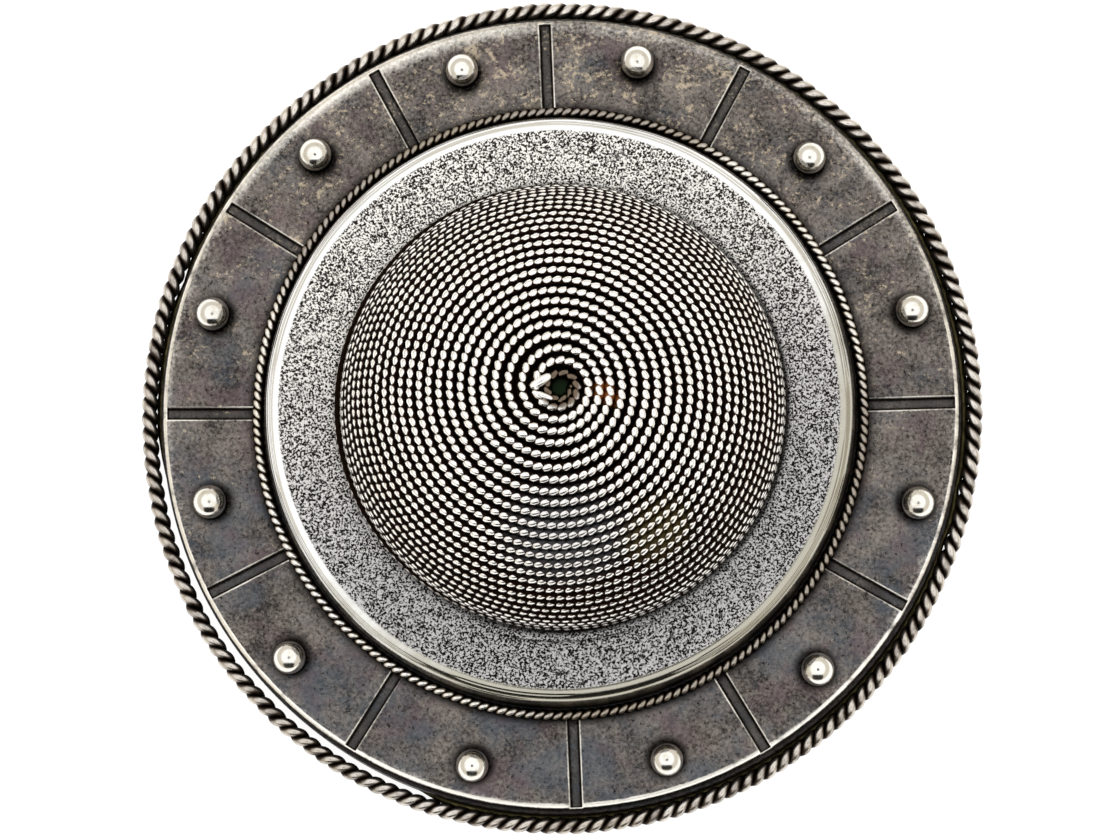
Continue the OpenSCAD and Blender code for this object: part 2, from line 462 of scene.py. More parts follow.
@dataclass(frozen=True)
class OxidisedSilver:
    """Rolled silver sheet, blackened with liver of sulphur and worn back along its edges."""

    name: str = "oxidised silver sheet"
    dark: str = "#373331"
    light: str = "#8d857e"
    grime: str = "#14110f"
    floor: str = "#454442"
    bright: str = "#fffaf0"
    roughness: float = 0.42
    grain: float = 0.67
    # Blue film towards the bottom, violet film all over, straw-coloured flecks
    # towards the top, and black specks
    films: Sequence[Film] = (
        Film("#4f5963", ((230.0, 6.0, 1.0),), 0.46, 0.68, 0.6, -3.0),
        Film("#6a575c", ((390.0, 6.0, 1.0),), 0.48, 0.7, 0.5),
        Film("#c9b9a0", ((4300.0, 4.0, 1.0), (620.0, 3.0, 0.8)), 1.03, 1.2, 0.8, 4.5),
        Film("#15110f", ((4600.0, 4.0, 1.0),), 0.56, 0.68, 0.85),
    )

    def look(self, add: Adder) -> Mapping[str, Any]:
        """Works out the finish from the marks of wear and sheen, of grime and shade, and of the floor.

        Args:
            add: Adds a node to the material.

        Returns:
            What each of the shader's sockets gets.
        """
        # Silver sheet darkened with liver of sulphur, not polished after. The eye gets a satin grey-brown with
        # violet, blue and straw clouds, small black specks, and a bright line, rubbed and painted sheen, along the
        # edges.
        place = add("TexCoord", out="Object")
        upward = add("SeparateXYZ", (place,), "Y")
        wear, grime, floor = (
            add("Attribute", out="Fac", attribute_name=mark.value) for mark in (Mark.WEAR, Mark.GRIME, Mark.FLOOR)
        )
        # Mottling of the oxide: clouds about 3 mm wide, and pores of the sheet about 0.15 mm wide
        clouds, pores = (add("TexNoise", (place, scale, d, self.grain)) for scale, d in ((320.0, 7.0), (5200.0, 3.0)))
        fine = add("MapRange", (pores, 0.3, 0.7, -0.24, 0.24))
        mottle = add("Math", (clouds, fine), operation="ADD")
        share = add("MapRange", (mottle, 0.27, 0.73))
        sheet = add("Mix", (share, linear(self.dark), linear(self.light)), data_type="RGBA")
        for film in self.films:
            pattern = add("Math", (upward, film.climb), operation="MULTIPLY")
            for scale, detail, weight in film.noises:
                spots = add("TexNoise", (place, scale, detail, self.grain))
                pattern = add("Math", (spots, weight, pattern), operation="MULTIPLY_ADD")
            share = add("MapRange", (pattern, film.low, film.high, 0.0, film.most), interpolation_type=EASED)
            sheet = add("Mix", (share, sheet, linear(film.colour)), data_type="RGBA")
        # The grime mark darkens the sheet with dirt and with painted shade
        for mark, dirt_or_shade, spread, most in ((floor, self.floor, 3.6, 0.62), (grime, self.grime, 1.0, 1.0)):
            ragged = add("Math", (fine, spread, most), operation="MULTIPLY_ADD")
            ragged = add("Math", (ragged, mark), operation="MULTIPLY")
            sheet = add("Mix", (ragged, sheet, linear(dirt_or_shade)), data_type="RGBA")
        # Bare metal and painted sheen come through in specks that run together towards the worn edges
        reach = wear
        for pattern, weight in ((pores, 0.7), (clouds, 0.3)):
            reach = add("Math", (pattern, weight, reach), operation="MULTIPLY_ADD")
        bare = add("MapRange", (reach, 0.64, 1.5), interpolation_type=EASED)
        return {
            "Base Color": add("Mix", (bare, sheet, linear(self.bright)), data_type="RGBA"),
            "Roughness": add("MapRange", (bare, 0.0, 1.0, self.roughness, 0.28)),
            "Normal": add("Bump", {"Height": mottle, "Strength": 0.6, "Distance": 0.02 * MM}),
            "Metallic": 1.0,
        }


@dataclass(frozen=True)
class GrainedSilver:
    """Silver sheet struck with a fine matting punch, its rounded edge burnished and its wall dark with oxide and
    painted shade.
    """

    name: str = "grained silver sheet"
    pale: str = "#fdfaf5"
    dark: str = "#221d1b"
    polished: str = "#f1f1ef"
    polish_stain: str = "#a5a08e"
    shade_blue_grey: str = "#7c8190"
    wall_dark: str = "#2c2620"
    wall_pale: str = "#7a7161"
    grime: str = "#120f0c"
    pit: str = "#1b1614"
    grain: float = 0.094 * MM
    roughness: float = 0.34
    # A scratch is about 0.08 mm wide and 4 mm long
    scratch: Triple = (130.0, 5200.0, 130.0)
    # Direction across the brooch, unevenness, where it begins and is full, and strength: of the painted blue-grey
    # shade on the grain and of the straw film on the burnished edge, both at the lower right
    bottom_shade_and_film: Sequence[tuple[Triple, float, float, float, float]] = (
        ((0.3, -0.95, 0.0), 14 * MM, -8 * MM, 18 * MM, 0.5),
        ((0.55, -0.83, 0.0), 16 * MM, 4 * MM, 20 * MM, 0.85),
    )

    def look(self, add: Adder) -> Mapping[str, Any]:
        """Works out the finish from the polish and wall marks and the mark of grime and shade.

        Args:
            add: Adds a node to the material.

        Returns:
            What each of the shader's sockets gets.
        """
        # Silver sheet matted with a punch, blackened and wiped. The eye gets hard white and black grain, a
        # mirror line round the burnished edge, painted blue-grey shade low down, and a wall dark with oxide and painted
        # shade.
        place = add("TexCoord", out="Object")
        polish, wall, grime = (
            add("Attribute", out="Fac", attribute_name=mark.value) for mark in (Mark.POLISH, Mark.WALL, Mark.GRIME)
        )
        # Punch marks are one grain wide, in clouds where the punch was struck harder; their white and black are wiped
        # tops and oxide in the hollows, painted with the light and shade of the punched relief
        punch = add("TexNoise", (place, 0.8 / self.grain, 2.0, 0.6))
        clouds = add("TexNoise", (place, 420.0, 4.0, 0.65))
        depth = add("Math", (clouds, 0.07, punch), operation="MULTIPLY_ADD")
        struck = add("MapRange", (depth, 0.485, 0.59), interpolation_type=EASED)
        # Pits where the punch went deep, 0.3 to 0.6 mm across
        pits = add("TexNoise", (place, 1500.0, 3.0))
        pits = add("MapRange", (pits, 0.69, 0.74, 0.0, 0.8), interpolation_type=EASED)
        lines = []
        for turn in (-35.0, 62.0):
            line = streaks(add, place, math.radians(turn), self.scratch, 1.0)
            lines.append(add("MapRange", (line, 0.73, 0.78), interpolation_type=EASED))
        scratched = add("Math", lines, operation="MAXIMUM")
        lower_tints = []
        for way, spread, low, high, most in self.bottom_shade_and_film:
            along = add("VectorMath", (place, way), operation="DOT_PRODUCT")
            along = add("Math", (clouds, spread, along), operation="MULTIPLY_ADD")
            lower_tints.append(add("MapRange", (along, low, high, 0.0, most), interpolation_type=EASED))
        edge = add("Mix", (lower_tints[1], linear(self.polished), linear(self.polish_stain)), data_type="RGBA")
        # Brown oxide is drawn out along the wall
        brown = streaks(add, place, 0.0, (900.0, 900.0, 120.0), 4.0)
        brown = add("MapRange", (brown, 0.4, 0.7), interpolation_type=EASED)
        side = add("Mix", (brown, linear(self.wall_dark), linear(self.wall_pale)), data_type="RGBA")
        colour: Any = linear(self.dark)
        # The blue-grey tint to the lower right is painted shade
        for share, over, blend in (
            (struck, linear(self.pale), "MIX"),
            (pits, linear(self.pit), "MIX"),
            (scratched, linear(self.pale), "MIX"),
            (lower_tints[0], linear(self.shade_blue_grey), "MULTIPLY"),
            (polish, edge, "MIX"),
            (wall, side, "MIX"),
            (grime, linear(self.grime), "MIX"),
        ):
            colour = add("Mix", (share, colour, over), data_type="RGBA", blend_type=blend)
        relief = add("MapRange", (polish, 0.0, 1.0, 1.0, 0.04))
        height = add("Math", (pits, -0.5, depth), operation="MULTIPLY_ADD")
        return {
            "Base Color": colour,
            "Roughness": add("MapRange", (polish, 0.0, 1.0, self.roughness, 0.17)),
            "Normal": add("Bump", {"Height": height, "Strength": relief, "Distance": 0.08 * MM}),
            "Metallic": 1.0,
        }


@dataclass(frozen=True)
class PolishedSilver:
    """Cast or drawn silver, polished, with a thin yellow tarnish and oxide left where it meets the sheet."""

    name: str = "polished silver"
    silver: str = "#efece5"
    tarnish: str = "#c4bb9c"
    grime: str = "#0d0906"
    tarnish_from: float = 0.45
    tarnish_share: float = 0.7
    cloud_scale: float = 900.0
    roughness: float = 0.12
    scuffs: float = 0.0

    def look(self, add: Adder) -> Mapping[str, Any]:
        """Works out the finish from the mark of grime and shade.

        Args:
            add: Adds a node to the material.

        Returns:
            What each of the shader's sockets gets.
        """
        # Silver buffed to a mirror, or wiped and scuffed by wear at the back. The eye gets sharp reflections
        # of the tent, faint yellow clouds, a black line of old oxide at every joint, and painted shade low on the
        # balls.
        place = add("TexCoord", out="Object")
        clouds = add("TexNoise", (place, self.cloud_scale, 5.0, 0.7))
        limits = (self.tarnish_from, 0.8, 0.0, self.tarnish_share)
        share = add("MapRange", (clouds, *limits), interpolation_type=EASED)
        metal = add("Mix", (share, linear(self.silver), linear(self.tarnish)), data_type="RGBA")
        grime = add("Attribute", out="Fac", attribute_name=Mark.GRIME.value)
        # Scuffs run two ways, each about 0.1 mm wide and several millimetres long
        lines: Socket | float = 0.0
        for turn, across in ((0.35, 4300.0), (-0.8, 5600.0)):
            line = add("MapRange", (streaks(add, place, turn, (90.0, across, 90.0), 2.0), 0.6, 0.75, 0.0, self.scuffs))
            lines = add("Math", (lines, line), operation="ADD")
        smooth = add("MapRange", (clouds, 0.3, 0.8, self.roughness, 2.2 * self.roughness))
        return {
            "Base Color": add("Mix", (grime, metal, linear(self.grime)), data_type="RGBA"),
            "Roughness": add("Math", (lines, 0.25, smooth), operation="MULTIPLY_ADD", use_clamp=True),
            "Normal": add("Bump", {"Height": lines, "Strength": 0.4, "Distance": 0.01 * MM}, invert=True),
            "Metallic": 1.0,
        }


class MakingTree:
    """A Geometry Nodes tree with named inputs that makes a finished shape from a bare mesh."""

    def __init__(self, name: str, inputs: Mapping[str, str]) -> None:
        """Starts the tree.

        Args:
            name: The tree's name.
            inputs: Name and type of each input, besides the mesh and the finish.
        """
        self.tree = bpy.data.node_groups.new(name, "GeometryNodeTree")
        self.tree.is_modifier = True
        self.add: Adder = partial(add_node, self.tree)
        self.sockets = {
            label: self.tree.interface.new_socket(label, in_out="INPUT", socket_type=f"NodeSocket{kind}").identifier
            for label, kind in {"Geometry": "Geometry", **inputs, "Finish": "Material"}.items()
        }
        self.tree.interface.new_socket("Geometry", in_out="OUTPUT", socket_type="NodeSocketGeometry")
        self.given = self.add("NodeGroupInput").node.outputs

    def close(self, made: Socket) -> None:
        """Ends the tree with real faces, shaded smoothly, that carry the finish.

        Args:
            made: The shape that the tree has made.
        """
        whole = self.add("GeometryNodeRealizeInstances", {"Geometry": made})
        smooth = self.add("GeometryNodeSetShadeSmooth", {"Geometry": whole})
        done = self.add("GeometryNodeSetMaterial", {"Geometry": smooth, "Material": self.given["Finish"]})
        self.add("NodeGroupOutput", (done,))

    def run(self, start: Mesh, values: Mapping[str, Any]) -> Mesh:
        """Runs the tree.

        Args:
            start: The bare mesh.
            values: What each named input gets.

        Returns:
            The shape as a plain mesh.
        """
        holder = object_from("holder", start)
        modifier = holder.modifiers.new("making", "NODES")
        modifier.node_group = self.tree
        for label, value in values.items():
            modifier[self.sockets[label]] = value
        mesh = bpy.data.meshes.new_from_object(holder.evaluated_get(bpy.context.evaluated_depsgraph_get()))
        holder.modifiers.remove(modifier)
        bpy.data.objects.remove(holder)
        return mesh


class StrandTree(MakingTree):
    """Lays one strand round a wire's axis and marks how far each point stands and faces out, and the lens of its
    painted highlight.
    """

    SIZES = (
        "Wire Diameter", "Strand Diameter", "Start Angle", "Twist Length", "Lens Length", "Lens Width", "Lens Tilt",
    )
    # Attributes of the axis, and the type of each
    GUIDES = {"outward": "FLOAT_VECTOR", "sideways": "FLOAT_VECTOR", "twist": "FLOAT"}
    AXIS = "axis"

    def __init__(self) -> None:
        """Builds the tree once; every strand shares it."""
        super().__init__("lay strand", {**dict.fromkeys(self.SIZES, "Float"), "Sides": "Int"})
        self.outward, self.sideways, twist = (
            self.add("GeometryNodeInputNamedAttribute", {"Name": name}, data_type=kind)
            for name, kind in self.GUIDES.items()
        )
        self.phase = self.add("Math", (twist, self.given["Start Angle"]), operation="ADD")
        self.close(self.marked(self.swept(self.wound())))

    def wound(self) -> Socket:
        """Moves each point of the axis out to where the strand runs.

        Returns:
            The strand's centre line, which remembers its axis.
        """
        add, given = self.add, self.given
        reach = add("Math", (given["Wire Diameter"], given["Strand Diameter"]), operation="SUBTRACT")
        offset = add("Math", (reach, 0.5), operation="MULTIPLY")
        parts = []
        for way, wave in ((self.outward, "COSINE"), (self.sideways, "SINE")):
            length = add("Math", (add("Math", (self.phase,), operation=wave), offset), operation="MULTIPLY")
            parts.append(add("VectorMath", (way, length), operation="SCALE"))
        kept = add(
            "GeometryNodeStoreNamedAttribute",
            {"Geometry": given["Geometry"], "Name": self.AXIS, "Value": add("GeometryNodeInputPosition")},
            data_type="FLOAT_VECTOR",
        )
        shift = add("VectorMath", parts, operation="ADD")
        return add("GeometryNodeSetPosition", {"Geometry": kept, "Offset": shift})

    def swept(self, line: Socket) -> Socket:
        """Sweeps a round section along the strand's centre line.

        Args:
            line: The centre line, as edges.

        Returns:
            The strand's surface.
        """
        add, given = self.add, self.given
        radius = add("Math", (given["Strand Diameter"], 0.5), operation="MULTIPLY")
        section = add("GeometryNodeCurvePrimitiveCircle", {"Resolution": given["Sides"], "Radius": radius})
        path = add("GeometryNodeMeshToCurve", {"Mesh": line})
        return add("GeometryNodeCurveToMesh", {"Curve": path, "Profile Curve": section, "Fill Caps": True})

    def marked(self, surface: Socket) -> Socket:
        """Marks how far each point stands and faces out, and the lens of its painted highlight.

        Args:
            surface: The strand's surface.

        Returns:
            The surface with its marks.
        """
        add, given = self.add, self.given
        axis = add("GeometryNodeInputNamedAttribute", {"Name": self.AXIS}, data_type="FLOAT_VECTOR")
        away = add("VectorMath", (add("GeometryNodeInputPosition"), axis), operation="SUBTRACT")
        onward = add("VectorMath", (self.sideways, self.outward), operation="CROSS_PRODUCT")
        radius = add("Math", (given["Wire Diameter"], 0.5), operation="MULTIPLY")
        crest, height, across, along = (
            add("Math", (length, radius), operation="DIVIDE")
            for length in (
                add("VectorMath", (away,), operation="LENGTH"),
                *(
                    add("VectorMath", (away, way), operation="DOT_PRODUCT")
                    for way in (self.outward, self.sideways, onward)
                ),
            )
        )
        # A lens, where the painted highlight goes, is an ellipse about the place where the strand crosses the side of
        # the wire that faces out
        waves = [add("Math", (self.phase,), operation=wave) for wave in ("SINE", "COSINE")]
        turned = add("Math", (add("Math", waves, operation="ARCTAN2"), given["Twist Length"]), operation="MULTIPLY")
        turned = add("Math", (turned, add("Math", (radius, TAU), operation="MULTIPLY")), operation="DIVIDE")
        spot = add("CombineXYZ", (add("Math", (along, turned), operation="ADD"), across))
        tilt = {"Vector": spot, "Angle": given["Lens Tilt"]}
        spot = add("VectorRotate", tilt, rotation_type="Z_AXIS", invert=True)
        size = add("CombineXYZ", (given["Lens Length"], given["Lens Width"], 1.0))
        spot = add("VectorMath", (spot, size), operation="DIVIDE")
        lens = add("Math", (1.0, add("VectorMath", (spot,), operation="LENGTH")), operation="SUBTRACT")
        # The far side of the wire has no lens
        lens = add("Math", (lens, add("Math", (height, 0.0), operation="LESS_THAN")), operation="SUBTRACT")
        facing = add("Math", (height, add("Math", (crest, 0.05), operation="MAXIMUM")), operation="DIVIDE")
        for mark, share in ((Mark.CREST, crest), (Mark.FACING, facing), (Mark.LENS, lens)):
            stored = {"Geometry": surface, "Name": mark.value, "Value": share}
            surface = add("GeometryNodeStoreNamedAttribute", stored, data_type="FLOAT")
        return surface


@dataclass(frozen=True)
class WirePath:
    """A wire's axis: its points, the two directions across it, and how far the twist has turned at each."""

    points: np.ndarray
    outward: np.ndarray
    sideways: np.ndarray
    twist: np.ndarray
    twist_length: float
    closed: bool

    @classmethod
    def about_z(
        cls, angle: np.ndarray, radius: np.ndarray, height: np.ndarray, tilt: Any, twist: np.ndarray,
        twist_length: float, closed: bool,
    ) -> "WirePath":
        """Leads a wire round the vertical axis.

        Args:
            angle: The angle of each point from X, in radians.
            radius: Its distance from the axis.
            height: Its height.
            tilt: How far the wire's outward side is tilted from straight up, at each point or everywhere.
            twist: How far the twist has turned at each point.
            twist_length: The length of one twist.
            closed: Whether the end joins the start.

        Returns:
            The path.
        """
        across = np.stack([np.cos(angle), np.sin(angle), 0 * angle], axis=1)
        up = np.array([[0.0, 0.0, 1.0]])
        sine, cosine = (f(np.broadcast_to(tilt, angle.shape))[:, None] for f in (np.sin, np.cos))
        # Sideways turns with the way the wire runs, so that wires wound either way lay their strands alike
        hand = np.sign(angle[0] - angle[1])
        points = across * radius[:, None] + up * height[:, None]
        outward, sideways = sine * across + cosine * up, hand * (cosine * across - sine * up)
        return cls(points, outward, sideways, twist, twist_length, closed)


@dataclass
class TwistedWire:
    """Two strands twisted into one wire that follows a path."""

    wire_d: float
    strand_d: float
    sides: int
    # Half length and half width in wire radii, and tilt in degrees, of the lens of painted highlight on each crest
    lens: Triple

    def path(self) -> WirePath:
        """Works out the wire's path."""
        raise NotImplementedError

    def dullness(self, places: np.ndarray) -> Any:
        """Returns how dull the wire is at an array of places."""
        raise NotImplementedError

    def build(self, name: str, maker: StrandTree, finish: Material, node: str) -> None:
        """Lays the two strands along the path as plain meshes.

        Args:
            name: What the pieces' names begin with.
            maker: The tree that lays them.
            finish: Their material.
            node: The CAD node that each replaces, with {ply} where the strand's letter goes.
        """
        path = self.path()
        count = len(path.points)
        edges = [(i, (i + 1) % count) for i in range(count if path.closed else count - 1)]
        length, width, tilt = self.lens
        for ply in Ply:
            line = bpy.data.meshes.new("axis")
            line.from_pydata(path.points.tolist(), edges, [])
            for guide, kind in maker.GUIDES.items():
                layer = line.attributes.new(guide, kind, "POINT")
                values = getattr(path, guide).astype(np.float32).ravel()
                layer.data.foreach_set("value" if kind == "FLOAT" else "vector", values)
            sizes = (
                self.wire_d, self.strand_d, math.radians(ply.value), path.twist_length, length, width,
                math.radians(tilt),
            )
            mesh = maker.run(line, {**dict(zip(maker.SIZES, sizes)), "Sides": self.sides, "Finish": finish})
            for extra in (*maker.GUIDES, maker.AXIS):
                mesh.attributes.remove(mesh.attributes[extra])
            letter = ply.name.lower()
            marks = {Mark.DULL: self.dullness(vertex_array(mesh))}
            adopt(f"{name}_strand_{letter}", mesh, Slot.TWISTED, [node.format(ply=letter)], marks=marks)


@dataclass
class RingRope(TwistedWire):
    """A twisted wire bent into a ring round the brooch."""

    radius: float
    height: float
    twists: int
    rings_per_twist: int
    # Bearing of the middle, half width in degrees and rise of each place where the wire bulges out
    bulges: Sequence[Triple]
    twist_drift: float
    drift_waves: int
    wander: float
    tilt: float
    seed: float
    dull: Table

    def dullness(self, places: np.ndarray) -> Any:
        """Returns how dull the rope is, by its table of bearings."""
        return by_bearing(bearing_of(places[:, 0], places[:, 1]), self.dull)

    def path(self) -> WirePath:
        """Works out the ring's axis, with the bulges and the small wander of a hand-laid wire.

        Returns:
            The wire's path.
        """
        count = self.twists * self.rings_per_twist
        angle = np.arange(count) * TAU / count
        bearing = np.degrees(TAU / 4 - angle)
        # The wander is read off a circle of this radius in the noise, and further up for the height
        reach, apart = 9, 31
        spots = [(math.cos(a) * reach, math.sin(a) * reach) for a in angle]
        radius, height = (
            start + self.wander * np.array([ripple(x, y, self.seed + up) for x, y in spots])
            for start, up in ((self.radius, 0), (self.height, apart))
        )
        for middle, half_width, rise in self.bulges:
            away = (bearing - middle + 540) % 360 - 180
            radius += np.where(np.abs(away) < half_width, rise * np.cos(np.radians(90 * away / half_width)) ** 2, 0)
        drift = self.twist_drift / self.drift_waves * np.sin(self.drift_waves * angle + self.seed)
        tilt, twist_length = math.radians(self.tilt), TAU * self.radius / self.twists
        return WirePath.about_z(angle, radius, height, tilt, self.twists * (angle + drift), twist_length, True)


@dataclass
class DomeCoil(TwistedWire):
    """The twisted wire that winds from the top of the dome over its steep lower turns to the drum."""

    sphere_r: float
    centre_z: float
    shift: float
    pitch: float
    start_arc: float
    foot_z: float
    # Turn, radius and height below the dome's top, where the wire was pushed down into its middle
    start_course: Sequence[Triple]
    sphere_turns: Point
    # Turn, radius and height above the lowest turn, where the wire leaves the sphere
    foot_course: Sequence[Triple]
    middle_drift: Point
    twist_length: float
    rings_per_twist: int
    wander: float
    steps_per_turn: int = 240
    # Where the hole in the middle is, and how far from it the wire is dull
    middle: Point = (0.5 * MM, -0.1 * MM)
    dull_r: float = 1.25 * MM
    dull_blur: float = 0.15 * MM

    def dullness(self, places: np.ndarray) -> Any:
        """Returns how dull the wire is, fully so inside the hole."""
        away = np.hypot(places[:, 0] - self.middle[0], places[:, 1] - self.middle[1])
        return 1 - smooth_step(away, self.dull_r - self.dull_blur, self.dull_r + self.dull_blur)

    def section(self, turn: np.ndarray) -> tuple[np.ndarray, np.ndarray, np.ndarray]:
        """Works out where the wire runs at each turn, seen in the dome's section.

        Args:
            turn: Turns from the very top.

        Returns:
            The radius, the height, and the tilt of the dome's surface from level.
        """
        top = self.centre_z + self.sphere_r
        knots = [(t, r, top - drop) for t, r, drop in self.start_course]
        for t in np.arange(self.sphere_turns[0], self.sphere_turns[1] + 0.01, 0.25):
            tilt = (self.start_arc + self.pitch * t) / self.sphere_r
            knots.append((t, self.sphere_r * math.sin(tilt), self.centre_z + self.sphere_r * math.cos(tilt)))
        knots += [(t, r, self.foot_z + rise) for t, r, rise in self.foot_course]
        turns, *columns = zip(*knots)
        # A wire has no corners, so its course is averaged over a twelfth of a turn
        width = self.steps_per_turn // 12
        radius, height = (
            np.convolve(np.pad(np.interp(turn, turns, c), width, mode="edge"), np.ones(width) / width, "same")
            for c in columns
        )
        steep = (self.start_arc + self.pitch * turn) / self.sphere_r
        return radius[width:-width], height[width:-width], np.minimum(steep, math.radians(80))

    def path(self) -> WirePath:
        """Works out the spiral, evenly spaced along the wire.

        Returns:
            The wire's path.
        """
        first, last = self.start_course[0][0], self.foot_course[-1][0]
        turn = np.linspace(first, last, int((last - first) * self.steps_per_turn))
        radius, height, tilt = self.section(turn)
        steps = np.hypot(TAU * radius[1:] * np.diff(turn), np.hypot(np.diff(radius), np.diff(height)))
        run = np.concatenate([[0.0], np.cumsum(steps)])
        length = np.linspace(0, run[-1], int(run[-1] / self.twist_length * self.rings_per_twist))
        turn, radius, height, tilt = (np.interp(length, run, values) for values in (turn, radius, height, tilt))
        radius += np.array([self.wander * ripple(d / (9 * MM), 0.0, 5.0) for d in length]) * np.cos(tilt)
        twist = length / self.twist_length * TAU
        path = WirePath.about_z(TAU / 4 - TAU * turn, radius, height, tilt, twist, self.twist_length, False)
        drift = 1 - smooth_step(turn, 1.0, 5.0)
        path.points[:, 0] += self.shift + drift * self.middle_drift[0]
        path.points[:, 1] += drift * self.middle_drift[1]
        return path


@dataclass
class DomeCore:
    """The dark sheet that shows between the dome's turns, black with oxide and painted shade, and the wire's turned-in
    ends.
    """

    coil: DomeCoil
    drop: float = 0.16 * MM
    wall: float = 0.3 * MM
    rows: int = 40
    segments: int = 180
    hole_r: float = 0.9 * MM
    hole_depth: float = 0.5 * MM
    # From and to, and the thickness, of the two wire ends beside the middle, in millimetres
    wire_ends: Sequence[tuple[Triple, Triple, float]] = (
        ((-1.2, -0.12, 18.08), (0.02, 0.62, 18.1), 0.62),
        ((-1.1, -0.36, 18.12), (0.12, -0.8, 18.08), 0.4),
    )
    end_rows: int = 15
    end_sides: int = 16
    end_flatness: float = 0.8
    end_bluntness: float = 0.6

    def lining(self) -> Mesh:
        """Builds the hollow sheet under the wire.

        Returns:
            The lining.
        """
        coil = self.coil
        radius, height, tilt = coil.section(np.linspace(coil.sphere_turns[0], coil.foot_course[-1][0], self.rows))
        radius = np.minimum(radius, max(r for _, r, _ in coil.foot_course[:3]))
        outline: list[Point] = []
        for drop, way in ((self.drop, 1), (self.drop + self.wall, -1)):
            heights = height - drop * np.cos(tilt)
            heights[-1] = coil.foot_z - coil.wire_d / 2
            top = coil.centre_z + coil.sphere_r - drop - self.hole_depth
            side = [(0.0, top), (0.4 * self.hole_r, top + 0.05 * self.hole_depth)]
            side += [(r, z) for r, z in zip(radius - drop * np.sin(tilt), heights) if r > self.hole_r]
            outline += side[::way]
        return lathe(outline, self.segments, centre_x=coil.shift)

    def ends(self) -> Mesh:
        """Builds the wire's two ends, flattened by the hammer beside the middle.

        Returns:
            Both ends as one mesh.
        """
        parts = []
        for start, end, thickness in self.wire_ends:
            p, q = Vector(start) * MM, Vector(end) * MM
            ahead = (q - p).normalized()
            side = ahead.cross(Vector((0, 0, 1))).normalized()
            up = side.cross(ahead) * self.end_flatness
            points = np.zeros((self.end_rows, self.end_sides, 3))
            for i, t in enumerate(np.linspace(0, math.pi, self.end_rows)):
                along = (p + q) / 2 - ahead * math.cos(t) * (q - p).length / 2
                size = thickness * MM / 2 * math.sin(t) ** self.end_bluntness
                for j in range(self.end_sides):
                    a = TAU * j / self.end_sides
                    points[i, j] = along + side * math.cos(a) * size + up * math.sin(a) * size
            parts.append(grid_mesh(points))
        return joined(parts, merge=True)

    def build(self, finish: Material) -> None:
        """Builds the lining, black all over with oxide and painted shade, and the ends, rubbed bright with painted
        highlight, in the twisted wire's finish.
        """
        for name, mesh, lens in (("dome_lining", self.lining(), -1.0), ("dome_wire_ends", self.ends(), 0.6)):
            adopt(name, mesh, Slot.TWISTED, ["coiled_dome"], finish, {Mark.LENS: lens})


